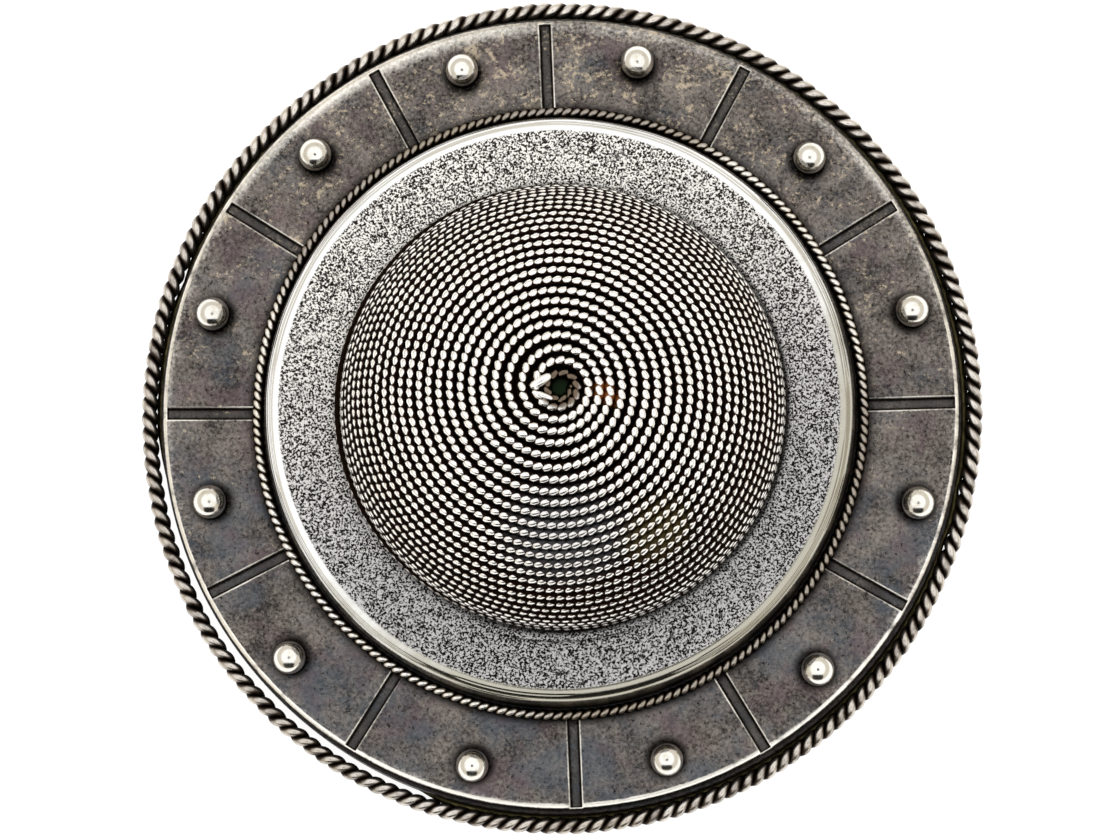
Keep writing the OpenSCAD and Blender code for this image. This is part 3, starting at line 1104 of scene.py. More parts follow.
@dataclass
class SlottedRing:
    """The outer ring: a flat face with radial slots, rolled over into a turned-down rim."""

    rim_r: float
    face_z: float
    rim_wall: float = 0.8 * MM
    face_sheet: float = 0.8 * MM
    rim_round: float = 0.55 * MM
    inner_r: float = 16.4 * MM
    slot_w: float = 0.65 * MM
    slot_depth: float = 0.4 * MM
    slot_start_r: float = 17.9 * MM
    slot_end_r: float = 23.45 * MM
    slot_bearings: Sequence[float] = (28.1, 58.1, 88.6, 119.5, 148.8, 177.7, 212.1, 242.9, 270.2, 302.2, 331.5, 357.7)
    panel_columns: int = 40
    dent: float = 0.05 * MM
    # The dark halo round a ball, painted shadow over some oxide, begins at its foot and is set a little towards the
    # drum
    halo_from: float = 0.95 * MM
    halo: float = 0.62 * MM
    halo_pull: float = 0.9935
    # Distance from a slot's edge in millimetres, and the share of its depth reached there
    edge_profile: Table = (
        (0.16, 0.0), (0.08, 0.0), (0.04, 0.02), (0.015, 0.2), (-0.01, 0.8), (-0.03, 0.97), (-0.08, 1.0),
    )
    # How bright the edge line is, rubbed and painted highlight, how bright the band inside it is, worn and painted
    # sheen, and how wide that band is, by bearing
    edge_wear: Table = (
        (0, 0.3), (20, 0.3), (52, 0.4), (82, 1.0), (111, 0.85), (142, 1.2), (170, 1.5), (236, 1.3), (263, 1.0),
        (294, 1.0), (324, 0.8), (351, 0.35),
    )
    band_wear: Table = (
        (0, 0.42), (20, 0.4), (38, 0.35), (52, 0.6), (66, 0.35), (82, 0.2), (111, 0.3), (142, 0.25), (170, 0.15),
        (203, 0.35), (236, 0.15), (263, 0.3), (294, 0.4), (324, 0.8), (351, 0.65),
    )
    band_width: Table = (
        (0, 1.4), (20, 1.2), (52, 0.8), (82, 0.8), (111, 0.9), (142, 0.6), (170, 0.5), (203, 0.6), (236, 0.4),
        (263, 0.8), (294, 0.7), (324, 1.0), (351, 1.3),
    )
    # Distance in from the rim at which the rubbed edge ends and the black side, oxide with painted shade, begins, in
    # millimetres
    edge_dark: Table = (
        (0, 0.13), (52, 0.13), (82, 0.13), (111, 0.2), (130, 0.28), (142, 0.32), (170, 0.34), (203, 0.3), (222, 0.2),
        (236, 0.15), (263, 0.13), (294, 0.1), (324, 0.1),
    )

    def columns(self) -> list[tuple[int, float, float, float]]:
        """Lists the ring's columns, which stand close at the slots.

        Returns:
            For each column the slot, its sideways offset, the share of the way to the next slot, and the
            share of the slot's depth.
        """
        half = self.slot_w / 2
        right = [*((half + d * MM, share) for d, share in self.edge_profile), (half / 2, 1.0)]
        profile = [(-x, s) for x, s in right] + [(0.0, 1.0)] + right[::-1]
        found = []
        for index in range(len(self.slot_bearings)):
            found += [(index, x, 0.0, share) for x, share in profile]
            found += [(index, right[0][0], k / self.panel_columns, 0.0) for k in range(1, self.panel_columns)]
        return found

    def top_rows(self) -> list[Triple]:
        """Lists the rows of the section from the inner edge over the face and round the rim.

        Returns:
            Radius, height and the share of a slot's depth at each row.
        """
        end, start = self.slot_end_r, self.slot_start_r
        face_end = self.rim_r - self.rim_round
        even_to = 23.2 * MM
        radii = [self.inner_r, 17.2 * MM, *(start + d * MM for d in (-0.12, -0.03, 0.03, 0.12))]
        radii += list(np.linspace(18.3 * MM, even_to, 24))
        radii += [r for r in sorted({face_end, *(end - d * MM for d, _ in self.edge_profile)}) if r > even_to + 1e-6]
        rows = []
        for radius in radii:
            over = max(radius - face_end, 0.0)
            height = self.face_z - self.rim_round + math.sqrt(max(self.rim_round**2 - over**2, 0.0))
            rows.append((radius, height, min(self.end_share(end - radius), self.end_share(radius - start))))
        last = math.asin(max(radii[-1] - face_end, 0.0) / self.rim_round)
        for angle in np.linspace(last, TAU / 4, 9)[1:]:
            height = self.face_z - self.rim_round + self.rim_round * math.cos(angle)
            rows.append((face_end + self.rim_round * math.sin(angle), height, 0.0))
        return rows

    def under_rows(self) -> list[Triple]:
        """Lists the rows of the section from the rim's side down and back inside.

        Returns:
            Radius, height and the share of a slot's depth, which is none, at each row.
        """
        wall_in, under, edge = self.rim_r - self.rim_wall, self.face_z - self.face_sheet, 0.12 * MM
        found = [
            (self.rim_r, 1.4 * MM), (self.rim_r, edge), (self.rim_r - edge / 3, edge / 3), (self.rim_r - edge, 0.0),
            (wall_in + edge, 0.0), (wall_in + edge / 3, edge / 3), (wall_in, edge), (wall_in, under - edge),
            (wall_in - edge / 2, under), (20 * MM, under), (self.inner_r, under),
        ]
        return [(r, z, 0.0) for r, z in found]

    def end_share(self, inside: float) -> float:
        """Returns the share of the slot's depth at a distance inside its end."""
        return np.interp(inside, [-d * MM for d, _ in self.edge_profile], [s for _, s in self.edge_profile])

    def rim_wear(self, radius: float, bearing: float, dark_r: float) -> float:
        """Works out how bare the metal is near the rim, outside the slots, with the painted highlight and sheen there.

        Args:
            radius: The point's distance from the middle.
            bearing: Its bearing.
            dark_r: Where the black side, oxide with painted shade, begins there.

        Returns:
            0 for oxide to 1 and more for bare metal and painted sheen.
        """
        line = smooth_step(radius, dark_r - 0.29 * MM, dark_r - 0.18 * MM)
        line *= 0.85 + 0.7 * ripple(math.radians(bearing) * 30, 0.0, 4.0)
        inside = dark_r - 0.2 * MM
        band = smooth_step(radius, inside - by_bearing(bearing, self.band_width) * MM, inside)
        rubbed_and_sheen = max(line * by_bearing(bearing, self.edge_wear), band * by_bearing(bearing, self.band_wear))
        return rubbed_and_sheen * (1 - smooth_step(radius, dark_r - 0.05 * MM, dark_r + 0.02 * MM))

    def face_marks(
        self, radius: float, here: float, offset: float, way: float, share: float, studs: Sequence[Vector]
    ) -> Triple:
        """Works out the wear and painted sheen, and the dirt and painted shade, at a point of the face.

        Args:
            radius: The point's distance from the middle.
            here: Its bearing in radians, which goes on past a full turn after the last slot.
            offset: Its sideways distance from the slot's middle.
            way: Its share of the way to the next slot, or 0 at a slot.
            share: The share of the slot's depth there.
            studs: Where the ball studs stand.

        Returns:
            The wear with painted sheen, the grime with painted shade, and the floor mark.
        """
        x, y, bearing = radius * math.sin(here), radius * math.cos(here), math.degrees(here)
        dark_r = self.rim_r - by_bearing(bearing, self.edge_dark) * MM
        beside = self.slot_w if way else abs(offset) - self.slot_w / 2
        edge = 0.0
        if share < 0.5 and self.slot_start_r < radius < self.slot_end_r + 0.1 * MM:
            patch = Vector((x, y, 9 * MM + math.copysign(3 * MM, offset))) / (2.5 * MM)
            edge = (1 - smooth_step(beside, 0.05 * MM, 0.16 * MM)) * (0.72 + 0.6 * ripple(*patch))
        wear = 0.0 if share > 0.02 else self.rim_wear(radius, bearing, dark_r)
        # The halo round each stud is painted shadow over some oxide, set towards the drum
        near = min(math.hypot(x - self.halo_pull * s.x, y - self.halo_pull * s.y) for s in studs)
        halo = 1 - smooth_step(near, self.halo_from, self.halo_from + self.halo)
        # Painted shade on the face beside the drum rope
        foot = 1 - smooth_step(radius, 18.3 * MM, 18.9 * MM)
        wall = share * (1 - smooth_step(-beside if beside < 0 else self.slot_w, 0.06 * MM, 0.2 * MM))
        # Painted shade over the oxide on the rim's rounded side, wider at the bottom
        over = smooth_step(radius, dark_r - 0.05 * MM, dark_r + 0.03 * MM)
        return max(0.95 * edge, wear), max(halo, 0.8 * foot, wall, 4 * share * (1 - share), 0.9 * over), share

    def build(self, finish: Material, studs: Sequence[Vector]) -> None:
        """Builds the ring with its slots, dents, wear, painted sheen and shade, and the halos of painted shadow round
        the studs.

        Args:
            finish: Its material.
            studs: Where the ball studs stand.
        """
        columns, top, under = self.columns(), self.top_rows(), self.under_rows()
        points = np.zeros((len(top) + len(under), len(columns), 3))
        found = np.zeros((3, *points.shape[:2]))
        bearings = [*self.slot_bearings, self.slot_bearings[0] + 360]
        for i, (radius, height, row_share) in enumerate(top + under):
            for j, (slot, offset, way, column_share) in enumerate(columns):
                here = math.radians(bearings[slot]) + math.asin(offset / radius)
                if way:
                    here += way * (math.radians(bearings[slot + 1]) - math.asin(abs(offset) / radius) - here)
                share = min(row_share, column_share)
                x, y, z = radius * math.sin(here), radius * math.cos(here), height
                if i < len(top):
                    z += self.dent * ripple(*(Vector((x, y, 0)) / (3.5 * MM)))
                    z += share * (self.face_z - self.slot_depth - z)
                    found[:, i, j] = self.face_marks(radius, here, offset, way, share, studs)
                points[i, j] = (x, y, z)
        wear, grime, floor = found
        # Below the face the sheet is dirty, darker still high on the rim's side with painted shade, and its lower edge
        # is rubbed
        grime[-len(under) :] = 0.35
        grime[-len(under) : -9] = 0.85
        wear[-9:-7] = 0.5
        marks = {Mark.WEAR: wear, Mark.GRIME: grime, Mark.FLOOR: floor}
        mesh = grid_mesh(points, wrap_rows=True)
        adopt("slotted_ring_dressed", mesh, Slot.OXIDISED, ["slotted_ring"], finish, marks)


@dataclass
class RimSolder:
    """The dark solder and dirt between the rim and the heavy rope, missing where the rope stands off."""

    rim_r: float
    reach: float = 0.42 * MM
    top_z: float = 1.78 * MM
    depth: float = 0.35 * MM
    # Bearing, and how far the gap is filled there
    filled: Table = (
        (0, 1), (98, 1), (100.5, 0.6), (103, 1), (106, 1), (108, 0.5), (110, 0.5), (113, 1), (196, 1), (201, 0),
        (260, 0), (268, 0.8), (286, 1), (290, 0.6), (296, 1), (350, 1),
    )
    segments: int = 720

    def build(self, finish: Material) -> None:
        """Builds the strip.

        Args:
            finish: Its material.
        """
        angles = np.arange(self.segments) * TAU / self.segments
        full = by_bearing(bearing_of(np.cos(angles), np.sin(angles)), self.filled)
        rough = np.array([ripple(math.cos(a) * 40, math.sin(a) * 40, 1.0) for a in angles])
        out = self.rim_r + 0.015 * MM + full * (self.reach + 0.05 * MM * rough)
        inside = np.full(self.segments, self.rim_r - 0.08 * MM)
        top, low = self.top_z + 0.08 * MM * rough, self.top_z - self.depth + 0.08 * MM * rough
        rows = ((inside, top + 0.1 * MM), (out, top), (out, low), (inside, low))
        points = [np.stack([r * np.cos(angles), r * np.sin(angles), z], axis=1) for r, z in rows]
        mesh = grid_mesh(np.array(points), wrap_rows=True)
        adopt("rim_solder", mesh, Slot.OXIDISED, finish=finish)


@dataclass
class BossDrum:
    """The raised drum: a dark wall, a wide burnished rounding and the grained shoulder that carries the dome."""

    face_z: float
    dome_x: float
    foot_r: float = 17.6 * MM
    wall_r: float = 17.5 * MM
    height: float = 2.85 * MM
    edge_round: float = 0.9 * MM
    seat_r: float = 13.6 * MM
    seat_inner_r: float = 11.9 * MM
    shoulder_rise: float = 0.05 * MM
    sheet: float = 0.5 * MM
    # The burnisher reached this tilt of the rounding, in degrees; steeper parts take the wall's dark colour, oxide and
    # painted shade
    polish_tilt: float = 61.0
    scribe_r: float = 13.84 * MM
    scribe_w: float = 0.07 * MM
    scribe_depth: float = 0.05 * MM
    scribed: Table = ((140, 0), (155, 1), (190, 1), (205, 0))
    # Tilts at which the burnisher left a thin line in the rounding, and half its width in degrees
    lines: Sequence[float] = (27.0, 37.0, 46.0, 55.0)
    half_line: float = 1.6
    line_depth: float = 0.022 * MM
    seam: float = 0.03 * MM
    segments: int = 480
    wander: float = 0.05 * MM

    def rows(self) -> list[Triple]:
        """Lists the rows of the section, from the wall's foot up over the shoulder and back inside.

        Returns:
            Radius, height and the tilt of the surface from level at each row, or 180 inside.
        """
        foot_z, seat_z = self.face_z + self.seam, self.face_z + self.height
        top_z = seat_z - self.shoulder_rise
        middle_r, middle_z = self.wall_r - self.edge_round, top_z - self.edge_round
        found = [
            (self.foot_r + t * (self.wall_r - self.foot_r), foot_z + t * (middle_z - foot_z), 90.0)
            for t in np.linspace(0, 1, 7)[:-1]
        ]
        tilts = {float(t) for t in np.linspace(0, 90, 19)}
        for line in self.lines:
            tilts = {t for t in tilts if abs(t - line) > 2.5 * self.half_line}
            tilts |= {line - self.half_line, line, line + self.half_line}
        turns = [(self.edge_round, t, t) for t in sorted(tilts, reverse=True)]
        inner = [(self.edge_round - self.sheet, t, 180.0) for t in np.linspace(0, 90, 6)]
        turns, inner = (
            [(middle_r + r * math.sin(math.radians(t)), middle_z + r * math.cos(math.radians(t)), s) for r, t, s in row]
            for row in (turns, inner)
        )
        found += turns
        for radius in np.linspace(middle_r, self.scribe_r + 0.3 * MM, 16)[1:]:
            rise = (middle_r - radius) / (middle_r - self.seat_r)
            found.append((float(radius), top_z + rise * self.shoulder_rise, 0.0))
        found += [(self.scribe_r + d * self.scribe_w, seat_z, 0.0) for d in (1, 0, -1)]
        found += [(r, seat_z, 0.0) for r in (self.seat_r, 13.3 * MM, 12.8 * MM, self.seat_inner_r)]
        found += [(r, seat_z - self.sheet, 180.0) for r in (self.seat_inner_r, self.seat_r)]
        return [*found, *inner, (self.foot_r - self.sheet, foot_z, 180.0)]

    def uneven(self, radius: float, angle: float, height: float) -> Vector:
        """Works out the small wander of hand-raised sheet.

        Args:
            radius: The point's distance from the middle.
            angle: Its angle from X, in radians.
            height: Its height.

        Returns:
            How far the point is moved.
        """
        x, y, z = math.cos(angle) * 3, math.sin(angle) * 3, height / (2 * MM)
        out = self.wander * ripple(x, y, z)
        lift = 0.4 * self.wander * ripple(x + 7, y + 3, z + radius / (2 * MM))
        return Vector((out * math.cos(angle), out * math.sin(angle), lift))

    def build(self, finish: Material) -> None:
        """Builds the drum with its scribed lines, and marks its burnished edge, its wall, dark with oxide and painted
        shade, and its dirt with the painted shade round the dome's foot.

        Args:
            finish: Its material.
        """
        rows = self.rows()
        mesh = lathe([(r, z) for r, z, _ in rows], self.segments, self.uneven, poles=False)
        places = vertex_array(mesh).reshape(len(rows), self.segments, 3)
        tilt = np.array([t for _, _, t in rows])[:, None] * np.ones((1, self.segments))
        top = tilt < 91
        bearing = bearing_of(places[:, :, 0], places[:, :, 1])
        from_dome = np.hypot(places[:, :, 0] - self.dome_x, places[:, :, 1])
        # Painted shade on the shoulder round the dome's foot
        grime = np.where(top & (tilt < 1), 1 - smooth_step(from_dome, 13.28 * MM, 13.62 * MM), 0)
        unpolished_and_shaded = smooth_step(tilt, self.polish_tilt - 2, self.polish_tilt + 4)
        polish = np.where(top, smooth_step(tilt, 0.5, 6.0) * (1 - unpolished_and_shaded), 0)
        for i, (radius, _, row_tilt) in enumerate(rows):
            cut = np.zeros(self.segments)
            if row_tilt in self.lines:
                level = 5.0 * self.lines.index(row_tilt)
                waves = [ripple(x / (7 * MM), y / (7 * MM), level) for x, y in places[i, :, :2].tolist()]
                cut = smooth_step(np.array(waves), 0.0, 0.25)
                lean = math.radians(row_tilt)
                outward = places[i, :, :2] / np.hypot(*places[i, :, :2].T)[:, None]
                places[i, :, :2] -= outward * (cut * self.line_depth * math.sin(lean))[:, None]
                places[i, :, 2] -= cut * self.line_depth * math.cos(lean)
            elif abs(radius - self.scribe_r) < 1e-7 and row_tilt == 0:
                cut = by_bearing(bearing[i], self.scribed)
                places[i, :, 2] -= cut * self.scribe_depth
            grime[i] = np.maximum(grime[i], 0.8 * cut)
        mesh.vertices.foreach_set("co", places.astype(np.float32).ravel())
        mesh.update()
        marks = {Mark.POLISH: polish, Mark.WALL: np.where(top, unpolished_and_shaded, 0.4), Mark.GRIME: grime}
        adopt("boss_drum_dressed", mesh, Slot.GRAINED, ["boss_drum"], finish, marks)


class BallTree(MakingTree):
    """Sets a ball on every point, turned to face away from the middle."""

    def __init__(self) -> None:
        """Builds the tree."""
        super().__init__("set balls", {"Ball": "Object", "Least Size": "Float", "Seed": "Int"})
        add, given = self.add, self.given
        ball = add("GeometryNodeObjectInfo", {"Object": given["Ball"]}, "Geometry")
        parts = add("SeparateXYZ", (add("GeometryNodeInputPosition"),)).node.outputs
        turn = add("Math", (parts["Y"], parts["X"]), operation="ARCTAN2")
        limits = {"Min": given["Least Size"], "Max": 1.0, "Seed": given["Seed"]}
        size = add("FunctionNodeRandomValue", limits, data_type="FLOAT")
        spin = add("CombineXYZ", {"Z": turn})
        placed = {"Points": given["Geometry"], "Instance": ball, "Rotation": spin, "Scale": size}
        self.close(add("GeometryNodeInstanceOnPoints", placed))


@dataclass
class BallStuds:
    """The polished balls, each on its fillet of solder."""

    places: Sequence[Vector]
    radius: float
    foot_z: float
    lift: float
    solder_r: float = 1.02 * MM
    solder_h: float = 0.22 * MM
    segments: int = 40
    least_size: float = 0.97
    seed: int = 4

    def pattern(self) -> Mesh:
        """Builds one ball at the origin, standing on its foot.

        Returns:
            The ball.
        """
        low = math.acos(-self.lift * 0.55 / self.radius)
        tilts = np.linspace(0.06, low, 26)
        side = [(self.radius * math.sin(t), self.lift + self.radius * math.cos(t)) for t in tilts]
        foot = [(self.solder_r * 0.93, self.solder_h * 0.5), (self.solder_r, 0.02 * MM), (self.solder_r, 0.0)]
        mesh = lathe([(0.0, self.lift + self.radius), *side, *foot, (0.0, 0.0)], self.segments)
        places = vertex_array(mesh)
        # Painted shade, with old oxide at the foot, falls low on each ball and on its side towards the drum, at minus X
        # before each ball is turned into place
        reach = places[:, 2] + 0.6 * places[:, 0]
        set_marks(mesh, {Mark.GRIME: 1 - smooth_step(reach, 0.1 * MM, 0.95 * MM)})
        return mesh

    def build(self, finish: Material) -> None:
        """Sets all the balls as one piece.

        Args:
            finish: Their material.
        """
        pattern = object_from("ball_pattern", self.pattern(), finish)
        spots = bpy.data.meshes.new("ball_spots")
        spots.from_pydata([(p.x, p.y, self.foot_z) for p in self.places], [], [])
        values = {"Ball": pattern, "Least Size": self.least_size, "Seed": self.seed, "Finish": finish}
        mesh = BallTree().run(spots, values)
        bpy.data.objects.remove(pattern)
        adopt("ball_studs", mesh, Slot.POLISHED, [f"stud_{i + 1:02d}" for i in range(len(self.places))])


@dataclass
class BackPlate:
    """The plain sheet that closes the back, let into the rim on a fillet of solder."""

    top_z: float
    under_z: float
    outer_r: float
    fillet: float = 0.45 * MM
    wander: float = 0.03 * MM
    segments: int = 180

    def uneven(self, radius: float, angle: float, height: float) -> Vector:
        """Returns the small dents of the hand-cut sheet at a point."""
        spot = Vector((radius * math.cos(angle), radius * math.sin(angle), height)) / (6 * MM)
        return Vector((0, 0, smooth_step(self.outer_r - radius, 0, 2 * MM) * self.wander * ripple(*spot)))

    def build(self, finish: Material) -> None:
        """Builds the plate and marks the old oxide along its edge.

        Args:
            finish: Its material.
        """
        flat_r = self.outer_r - self.fillet
        outline = [(0.0, self.under_z)] + [(float(r), self.under_z) for r in np.linspace(1.5 * MM, flat_r, 18)]
        for lean in np.radians(np.linspace(15, 90, 6)):
            outline.append((flat_r + self.fillet * math.sin(lean), self.under_z - self.fillet * (1 - math.cos(lean))))
        outline += [(share * self.outer_r, self.top_z) for share in (1.0, 0.5, 0.0)]
        mesh = lathe(outline, self.segments, self.uneven)
        radius = np.hypot(*vertex_array(mesh)[:, :2].T)
        grime = 0.8 * smooth_step(radius, flat_r - 0.3 * MM, flat_r + 0.15 * MM)
        adopt("back_plate_dressed", mesh, Slot.POLISHED, ["back_plate"], finish, {Mark.GRIME: grime})


def prism(outline: Table, thickness: float, bevel: float, place: Matrix) -> Mesh:
    """Gives a flat outline a thickness, rounds its edges and puts it in place.

    Args:
        outline: Corners in the local XY plane, anticlockwise.
        thickness: Size along local Z, half to each side.
        bevel: Width of the rounding along its edges.
        place: The matrix that puts it in place.

    Returns:
        The mesh.
    """
    work = bmesh.new()
    low, high = ([work.verts.new((x, y, side * thickness / 2)) for x, y in outline] for side in (-1, 1))
    work.faces.new(low[::-1])
    work.faces.new(high)
    for i in range(-1, len(outline) - 1):
        work.faces.new((low[i], low[i + 1], high[i + 1], high[i]))
    bmesh.ops.recalc_face_normals(work, faces=work.faces)
    sharp = [edge for edge in work.edges if edge.calc_face_angle(0.0) > math.radians(35)]
    bmesh.ops.bevel(work, geom=sharp, offset=bevel, segments=2, profile=0.5, affect="EDGES")
    bmesh.ops.transform(work, matrix=place, verts=work.verts)
    mesh = bpy.data.meshes.new("prism")
    work.to_mesh(mesh)
    work.free()
    return mesh


def arc(radius: float, start: float, end: float, steps: int) -> list[Point]:
    """Returns points along an arc about the origin between two angles in degrees."""
    return [(radius * math.cos(a), radius * math.sin(a)) for a in np.radians(np.linspace(start, end, steps))]


def box_outline(half_x: float, half_y: float) -> list[Point]:
    """Returns the corners of a rectangle about the origin, anticlockwise."""
    return [(-half_x, -half_y), (half_x, -half_y), (half_x, half_y), (-half_x, half_y)]


@dataclass
class PinFitting:
    """The pin behind: two ears with a rivet, the stem's eye, the tapered stem and a C-shaped catch."""

    plate_z: float
    across_y: float = 6.0 * MM
    axis_z: float = 0.95 * MM
    reach: float = 16.5 * MM
    stem_d: float = 0.9 * MM
    tip_d: float = 0.2 * MM
    tip_reach: float = 2.7 * MM
    stem_bow: float = 0.06 * MM
    stem_rows: int = 60
    stem_sides: int = 18
    hinge_r: float = 0.8 * MM
    hinge_gap: float = 1.0 * MM
    hinge_play: float = 0.08 * MM
    ear_t: float = 0.7 * MM
    eye_d: float = 1.25 * MM
    rivet_r: float = 0.36 * MM
    # How far the rivet stands out of both ears together, and how round its ends are
    rivet_out: float = 0.28 * MM
    rivet_bevel: float = 0.11 * MM
    catch_len: float = 2.2 * MM
    catch_gap: float = 0.4 * MM
    catch_wall: float = 0.36 * MM
    # Where the catch opens, in degrees round the stem from the top of the brooch
    mouth: Point = (-28.0, 7.0)
    pad_t: float = 0.3 * MM
    bevel: float = 0.06 * MM

    def pad(self, x: float, half_x: float, half_y: float) -> Mesh:
        """Builds the pad on the plate that carries the hinge or the catch."""
        place = Matrix.Translation((x, self.across_y, self.plate_z - self.pad_t / 2))
        return prism(box_outline(half_x, half_y), self.pad_t, self.bevel, place)

    def hinge(self) -> list[Mesh]:
        """Builds the two ears, the stem's eye, the rivet and the pad below them.

        Returns:
            Their meshes.
        """
        turned = Matrix.Rotation(math.radians(90), 4, "X")
        at_hinge = Matrix.Translation((-self.reach, self.across_y, self.axis_z))
        up = self.plate_z - self.axis_z
        ear = [*arc(self.hinge_r, 180, 360, 19), (self.hinge_r, up), (-self.hinge_r, up)]
        width = self.hinge_gap + 2 * self.ear_t
        parts = []
        for outline, thickness, bevel, out in (
            (ear, self.ear_t, self.bevel, -1),
            (ear, self.ear_t, self.bevel, 1),
            (arc(self.eye_d / 2, 0, 345, 24), self.hinge_gap - self.hinge_play, self.bevel, 0),
            (arc(self.rivet_r, 0, 340, 18), width + self.rivet_out, self.rivet_bevel, 0),
        ):
            shift = Matrix.Translation((0, out * (self.hinge_gap + self.ear_t) / 2, 0))
            parts.append(prism(outline, thickness, bevel, at_hinge @ shift @ turned))
        return [*parts, self.pad(-self.reach, self.hinge_r, width / 2)]

    def catch(self) -> list[Mesh]:
        """Builds the C-shaped catch, the wall that carries it and its pad.

        Returns:
            Their meshes.
        """
        # Local X goes to the top of the brooch, local Y out of its face and local Z along the stem
        turned = Matrix(((0, 0, 1, 0), (1, 0, 0, 0), (0, 1, 0, 0), (0, 0, 0, 1)))
        place = Matrix.Translation((self.reach, self.across_y, self.axis_z)) @ turned
        outer = self.stem_d / 2 + self.catch_gap
        inner = outer - self.catch_wall
        start, end = self.mouth[1], 360 + self.mouth[0]
        up = self.plate_z - self.axis_z
        hook = arc(outer, start, end, 40) + arc(inner, end, start, 40)
        wall = [(-outer, 0.0), (-inner, 0.0), (-inner, up), (-outer, up)]
        parts = [prism(outline, self.catch_len, self.bevel, place) for outline in (hook, wall)]
        return [*parts, self.pad(self.reach, self.catch_len / 2, outer)]

    def stem(self) -> Mesh:
        """Builds the stem, drawn out to a point past the catch.

        Returns:
            The stem.
        """
        end = self.reach + self.tip_reach
        points = np.zeros((self.stem_rows, self.stem_sides, 3))
        for i, t in enumerate(np.linspace(0, 1, self.stem_rows)):
            x = -self.reach + t * (end + self.reach)
            taper = smooth_step(x, 0.55 * self.reach, end)
            radius = self.stem_d / 2 * (1 - taper) + self.tip_d / 2 * taper
            if i in (0, self.stem_rows - 1):
                radius = 0.0
            z = self.axis_z - self.stem_bow * math.sin(math.pi * t)
            for j in range(self.stem_sides):
                a = TAU * j / self.stem_sides
                points[i, j] = (x, self.across_y + radius * math.cos(a), z + radius * math.sin(a))
        return grid_mesh(points, merge=True)

    def build(self, finish: Material) -> None:
        """Joins the parts into one plain piece and marks the oxide where they are soldered on.

        Args:
            finish: Its material.
        """
        mesh = joined([*self.hinge(), *self.catch(), self.stem()])
        height = vertex_array(mesh)[:, 2]
        grime = 0.85 * smooth_step(height, self.plate_z - 0.25 * MM, self.plate_z - 0.02 * MM)
        adopt("pin_and_catch", mesh, Slot.POLISHED, ["pin_fitting"], finish, {Mark.GRIME: grime})


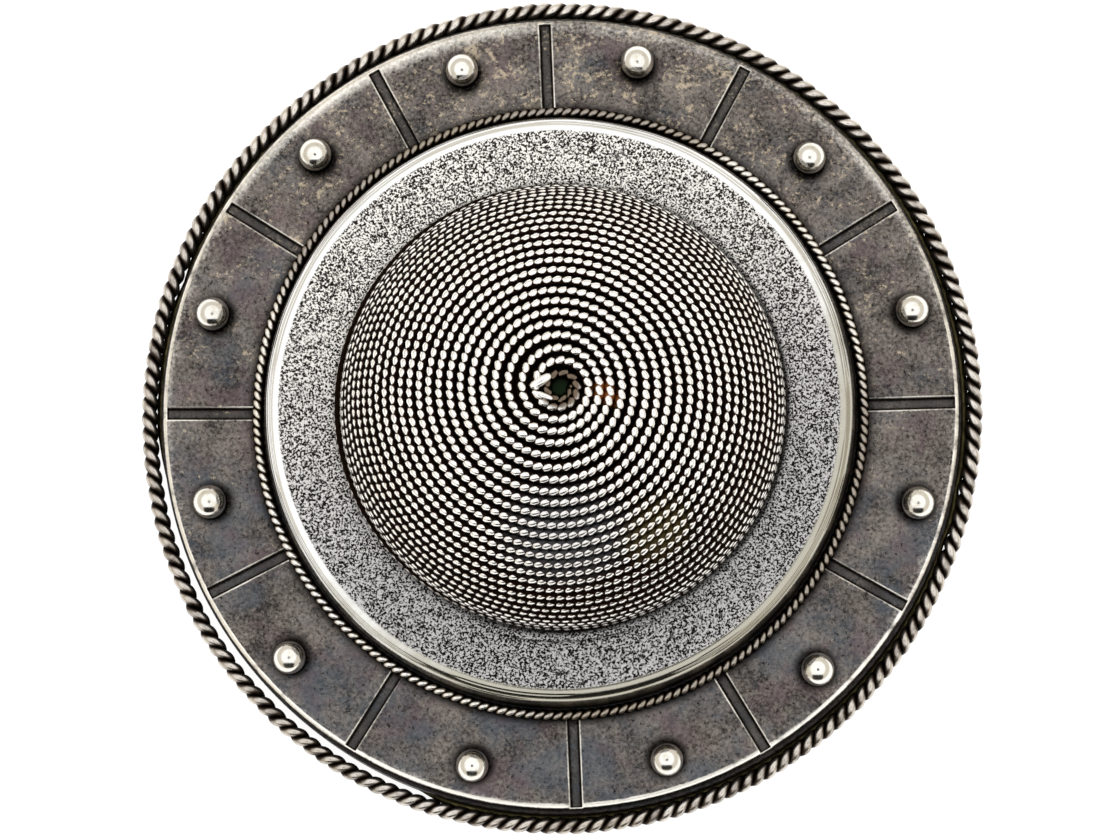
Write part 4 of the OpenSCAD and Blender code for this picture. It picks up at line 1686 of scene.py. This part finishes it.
@dataclass
class Studio:
    """The pale floor, the light tent and the camera at the photograph's viewing angle."""

    aim: Vector
    scale_px_per_mm: float = 16.74
    distance: float = 450 * MM
    lean_down: float = 6.3
    lean_right: float = 2.12
    photo_width_px: float = 1119.0
    aim_right_px: float = 1.8
    aim_up_px: float = 3.5
    sensor_mm: float = 36.0
    floor_half: float = 0.6
    floor_card: str = "#b4b4b4"
    overhead: str = "#ffffff"
    walls: str = "#f3ecdf"
    overhead_strength: float = 1.25
    wall_strength: float = 0.85
    # Radius in degrees of the hole that the lens looks in through
    lens_radius: float = 8.5
    # Half width and half height of the tent's opening, and how far down it is, in the view that a ball reflects
    opening_half: Point = (0.42, 0.26)
    opening_y: float = -0.65
    opening_light: float = 0.02

    def view_direction(self) -> Vector:
        """Returns the direction from the brooch to the camera."""
        right, down = math.sin(math.radians(self.lean_right)), -math.sin(math.radians(self.lean_down))
        return Vector((right, down, math.sqrt(1 - right**2 - down**2)))

    def camera(self) -> None:
        """Places the camera where the circles of the brooch shift against each other as in the photograph."""
        way = self.view_direction()
        data = bpy.data.cameras.new("camera")
        data.sensor_width = self.sensor_mm
        data.lens = self.scale_px_per_mm * self.distance / MM * self.sensor_mm / self.photo_width_px
        data.shift_x = -self.aim_right_px / self.photo_width_px
        data.shift_y = -self.aim_up_px / self.photo_width_px
        data.clip_start, data.clip_end = 0.01, 10.0
        camera = bpy.data.objects.new("camera", data)
        bpy.context.scene.collection.objects.link(camera)
        side = (-way).cross(Vector((0, 1, 0))).normalized()
        turn = Matrix((side, side.cross(-way), way)).transposed().to_4x4()
        camera.matrix_world = Matrix.Translation(self.aim + way * self.distance) @ turn
        bpy.context.scene.camera = camera

    def floor(self) -> None:
        """Lays a plain pale floor that meets the rim's lower edge."""
        mesh = bpy.data.meshes.new("floor")
        corners = [(x, y, 0) for x, y in box_outline(self.floor_half, self.floor_half)]
        mesh.from_pydata(corners, [], [(0, 1, 2, 3)])
        card = {
            "Base Color": linear(self.floor_card),
            "Roughness": 0.9,
            "Emission Color": (1.0, 1.0, 1.0, 1.0),
            "Emission Strength": 0.85,
        }
        object_from("floor", mesh, new_material("white card", lambda add: card))

    def tent_light(self) -> None:
        """Lights everything from a white tent with a brighter top and a dark opening on the near side."""
        world = bpy.data.worlds.new("light tent")
        bpy.context.scene.world = world
        world.use_nodes = True
        world.node_tree.nodes.clear()
        add = partial(add_node, world.node_tree)
        way = add("TexCoord", out="Generated")
        parts = add("SeparateXYZ", (way,)).node.outputs
        # The bright roof reaches to 50 degrees from straight up
        roof = add("MapRange", (parts["Z"], 0.5, 0.68), interpolation_type=EASED)
        side, top = (
            (*(c * strength for c in linear(colour)[:3]), 1.0)
            for colour, strength in ((self.walls, self.wall_strength), (self.overhead, self.overhead_strength))
        )
        cloth = add("Mix", (roof, side, top), data_type="RGBA")
        # The opening stands on the near side, 6 to 46 degrees up; a ball shows it as a dark block below its middle
        over_one = add("Math", (parts["Z"], 1.001), operation="ADD")
        spans = []
        for axis, middle, half in zip("XY", (0.0, self.opening_y), self.opening_half):
            seen = add("Math", (parts[axis], over_one), operation="DIVIDE")
            seen = add("Math", (seen, middle), operation="SUBTRACT")
            seen = add("Math", (seen, half), operation="DIVIDE")
            squared = add("Math", (seen, seen), operation="MULTIPLY")
            spans.append(add("Math", (squared, 2.0), operation="POWER"))
        opening = add("MapRange", (add("Math", spans, operation="ADD"), 1.1, 0.9))
        towards = add("VectorMath", (way, tuple(self.view_direction())), operation="DOT_PRODUCT")
        rim, inside = (math.cos(math.radians(self.lens_radius + more)) for more in (1, 0))
        hole = add("MapRange", (towards, rim, inside))
        gap = add("Math", (opening, hole), operation="MAXIMUM")
        strength = add("MapRange", (gap, 0.0, 1.0, 1.0, self.opening_light))
        add("OutputWorld", (add("Background", (cloth, strength)),))

    def build(self) -> None:
        """Sets up the camera, the floor, the light and plain colour handling."""
        self.camera()
        self.floor()
        self.tent_light()
        bpy.context.scene.view_settings.view_transform = "Standard"


def box_centre(node: str) -> Vector:
    """Returns the middle of a CAD node's box."""
    low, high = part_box(node)
    return (low + high) / 2


def build_sheet(studs: Sequence[Vector], dome_x: float) -> None:
    """Builds the ring, its solder and the drum.

    Args:
        studs: Where the ball studs stand.
        dome_x: How far the dome is set off the middle.
    """
    solder = PolishedSilver(
        name="tarnished silver solder", silver="#5a5337", tarnish="#1f1a12", tarnish_from=0.3, tarnish_share=1.0,
        cloud_scale=700.0, roughness=0.3,
    )
    sheet, drum = OxidisedSilver(), GrainedSilver()
    _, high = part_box("slotted_ring")
    SlottedRing(high.x, high.z).build(new_material(sheet.name, sheet.look), studs)
    RimSolder(high.x).build(new_material(solder.name, solder.look))
    BossDrum(high.z, dome_x).build(new_material(drum.name, drum.look))


def build_wires(dome_x: float, dome_foot_z: float) -> None:
    """Builds the two ropes and the dome.

    Args:
        dome_x: How far the dome is set off the middle.
        dome_foot_z: The height of the dome's lower edge.
    """
    rim_rope = RingRope(
        wire_d=1.0 * MM, strand_d=0.58 * MM, sides=14, lens=(1.0, 0.4, 40.0), radius=24.48 * MM, height=2.0 * MM,
        twists=88, rings_per_twist=22, bulges=((78, 50, 0.19 * MM), (232, 60, 0.24 * MM), (290, 40, 0.15 * MM)),
        twist_drift=0.04, drift_waves=2, wander=0.04 * MM, tilt=12.0, seed=2.0,
        dull=((0, 0.1), (60, 0.2), (90, 0.2), (180, 0.3), (270, 0.3), (330, 0.1)),
    )
    # Painted highlight along each strand's crest, and painted shade on the flanks that face in towards the rim
    rim_finish = TwistedSilver(
        name="heavy twisted silver wire", silver="#f6f0e8", tarnish="#b7a790", oxide="#15100e", edge="#5c5149",
        limits=((Mark.CREST, 0.7, 1.05), (Mark.FACING, -1.5, 0.5)), edge_at=0.5, white_at=0.96, unevenness=0.08,
        tarnish_share=0.25, bright_roughness=0.26,
    )
    drum_rope = RingRope(
        wire_d=0.7 * MM, strand_d=0.42 * MM, sides=12, lens=(1.0, 0.45, 38.0), radius=18.04 * MM,
        height=box_centre("inner_rope").z, twists=105, rings_per_twist=16, bulges=(), twist_drift=0.03,
        drift_waves=1, wander=0.03 * MM, tilt=10.0, seed=5.0,
        dull=((0, 0.75), (25, 0.7), (35, 0.1), (80, 0.1), (90, 0.7), (180, 0.7), (195, 0.1), (290, 0.1), (300, 0.7)),
    )
    drum_finish = TwistedSilver(
        name="fine twisted silver wire", edge="#75685a", limits=((Mark.LENS, -0.28, 0.38),), unevenness=0.12,
        tarnish_share=0.3,
    )
    wire_d = 0.72 * MM
    coil = DomeCoil(
        wire_d=wire_d, strand_d=0.5 * MM, sides=8, lens=(0.79, 0.6, 27.0), sphere_r=13.2 * MM, centre_z=4.82 * MM,
        shift=dome_x, pitch=0.7105 * MM, start_arc=0.11 * MM, foot_z=dome_foot_z + wire_d / 2,
        start_course=(
            (0.2, 0.68 * MM, 0.55 * MM), (0.6, 0.72 * MM, 0.4 * MM), (1.0, 0.84 * MM, 0.34 * MM),
            (1.35, 1.06 * MM, 0.16 * MM),
        ),
        sphere_turns=(1.75, 24.0),
        foot_course=(
            (25.0, 12.78 * MM, 1.06 * MM), (25.6, 12.815 * MM, 0.66 * MM), (26.0, 12.84 * MM, 0.42 * MM),
            (26.45, 12.87 * MM, 0.0), (26.55, 12.9 * MM, 0.0), (26.68, 13.16 * MM, 0.0), (26.75, 13.27 * MM, 0.0),
            (26.84, 13.2 * MM, 0.0), (26.92, 13.19 * MM, 0.0), (26.98, 13.05 * MM, 0.03 * MM),
        ),
        middle_drift=(0.25 * MM, -0.1 * MM), twist_length=1.12 * MM, rings_per_twist=8, wander=0.03 * MM,
    )
    dome_finish = TwistedSilver(
        name="coiled twisted silver wire", limits=((Mark.LENS, 0.24, 0.42),), oxide="#1a100b", edge="#664739",
        rub_and_light_per_mm=0.022, unevenness=0.06, tarnish_share=0.05,
        # Rust beside the middle, a yellow stain lower down, a grey patch there that is a painted reflection of the
        # tent's dark opening, and green dirt deepened with painted shade in the hole
        stains_and_shades=(
            StainOrShade((2.95 * MM, -0.3 * MM, 17.7 * MM), 0.9 * MM, "#a2602c", 0.7, True),
            StainOrShade((3.5 * MM, -0.7 * MM, 17.6 * MM), 0.7 * MM, "#a2602c", 0.7, True),
            StainOrShade((6.06 * MM, -8.18 * MM, 14.0 * MM), 3.0 * MM, "#cdb877", 0.09),
            StainOrShade((0.66 * MM, -7.7 * MM, 14.2 * MM), 4.6 * MM, "#8b8e93", 0.25),
            StainOrShade((0.5 * MM, -0.1 * MM, 17.4 * MM), 0.9 * MM, "#1d2a1c", 0.9, True),
        ),
    )
    maker = StrandTree()
    for wire, name, finish, node in (
        (rim_rope, "rim_rope", rim_finish, "outer_rope_strand_{ply}"),
        (drum_rope, "drum_rope", drum_finish, "inner_rope"),
        (coil, "dome_wire", dome_finish, "coiled_dome"),
    ):
        material = new_material(finish.name, finish.look)
        wire.build(name, maker, material, node)
    DomeCore(coil).build(material)


def build_polished(studs: Sequence[Vector]) -> None:
    """Builds the balls, the back plate and the pin.

    Args:
        studs: Where the ball studs stand.
    """
    ball = PolishedSilver(cloud_scale=1400.0, scuffs=0.25)
    back = PolishedSilver(
        name="scuffed silver sheet", silver="#d9d4ca", tarnish="#9a8a6c", tarnish_from=0.35, tarnish_share=0.85,
        cloud_scale=170.0, roughness=0.17, scuffs=0.8,
    )
    pin = PolishedSilver(name="drawn silver pin wire", tarnish_from=0.38, roughness=0.14, scuffs=0.5)
    low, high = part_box("stud_01")
    radius = (high.x - low.x) / 2
    BallStuds(studs, radius, low.z, high.z - low.z - radius).build(new_material(ball.name, ball.look))
    low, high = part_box("back_plate")
    BackPlate(high.z, low.z, high.x).build(new_material(back.name, back.look))
    _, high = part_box("pin_fitting")
    PinFitting(high.z).build(new_material(pin.name, pin.look))


def main() -> None:
    """Builds every piece of the brooch in order."""
    logging.basicConfig(level=logging.INFO, format="%(name)s: %(message)s")
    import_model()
    Studio(aim=Vector((0, 0, 2 * MM))).build()
    studs = [box_centre(f"stud_{i:02d}") for i in range(1, 13)]
    dome_x = box_centre("coiled_dome").x
    build_sheet(studs, dome_x)
    build_wires(dome_x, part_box("coiled_dome")[0].z)
    build_polished(studs)


if __name__ == "__main__":
    main()
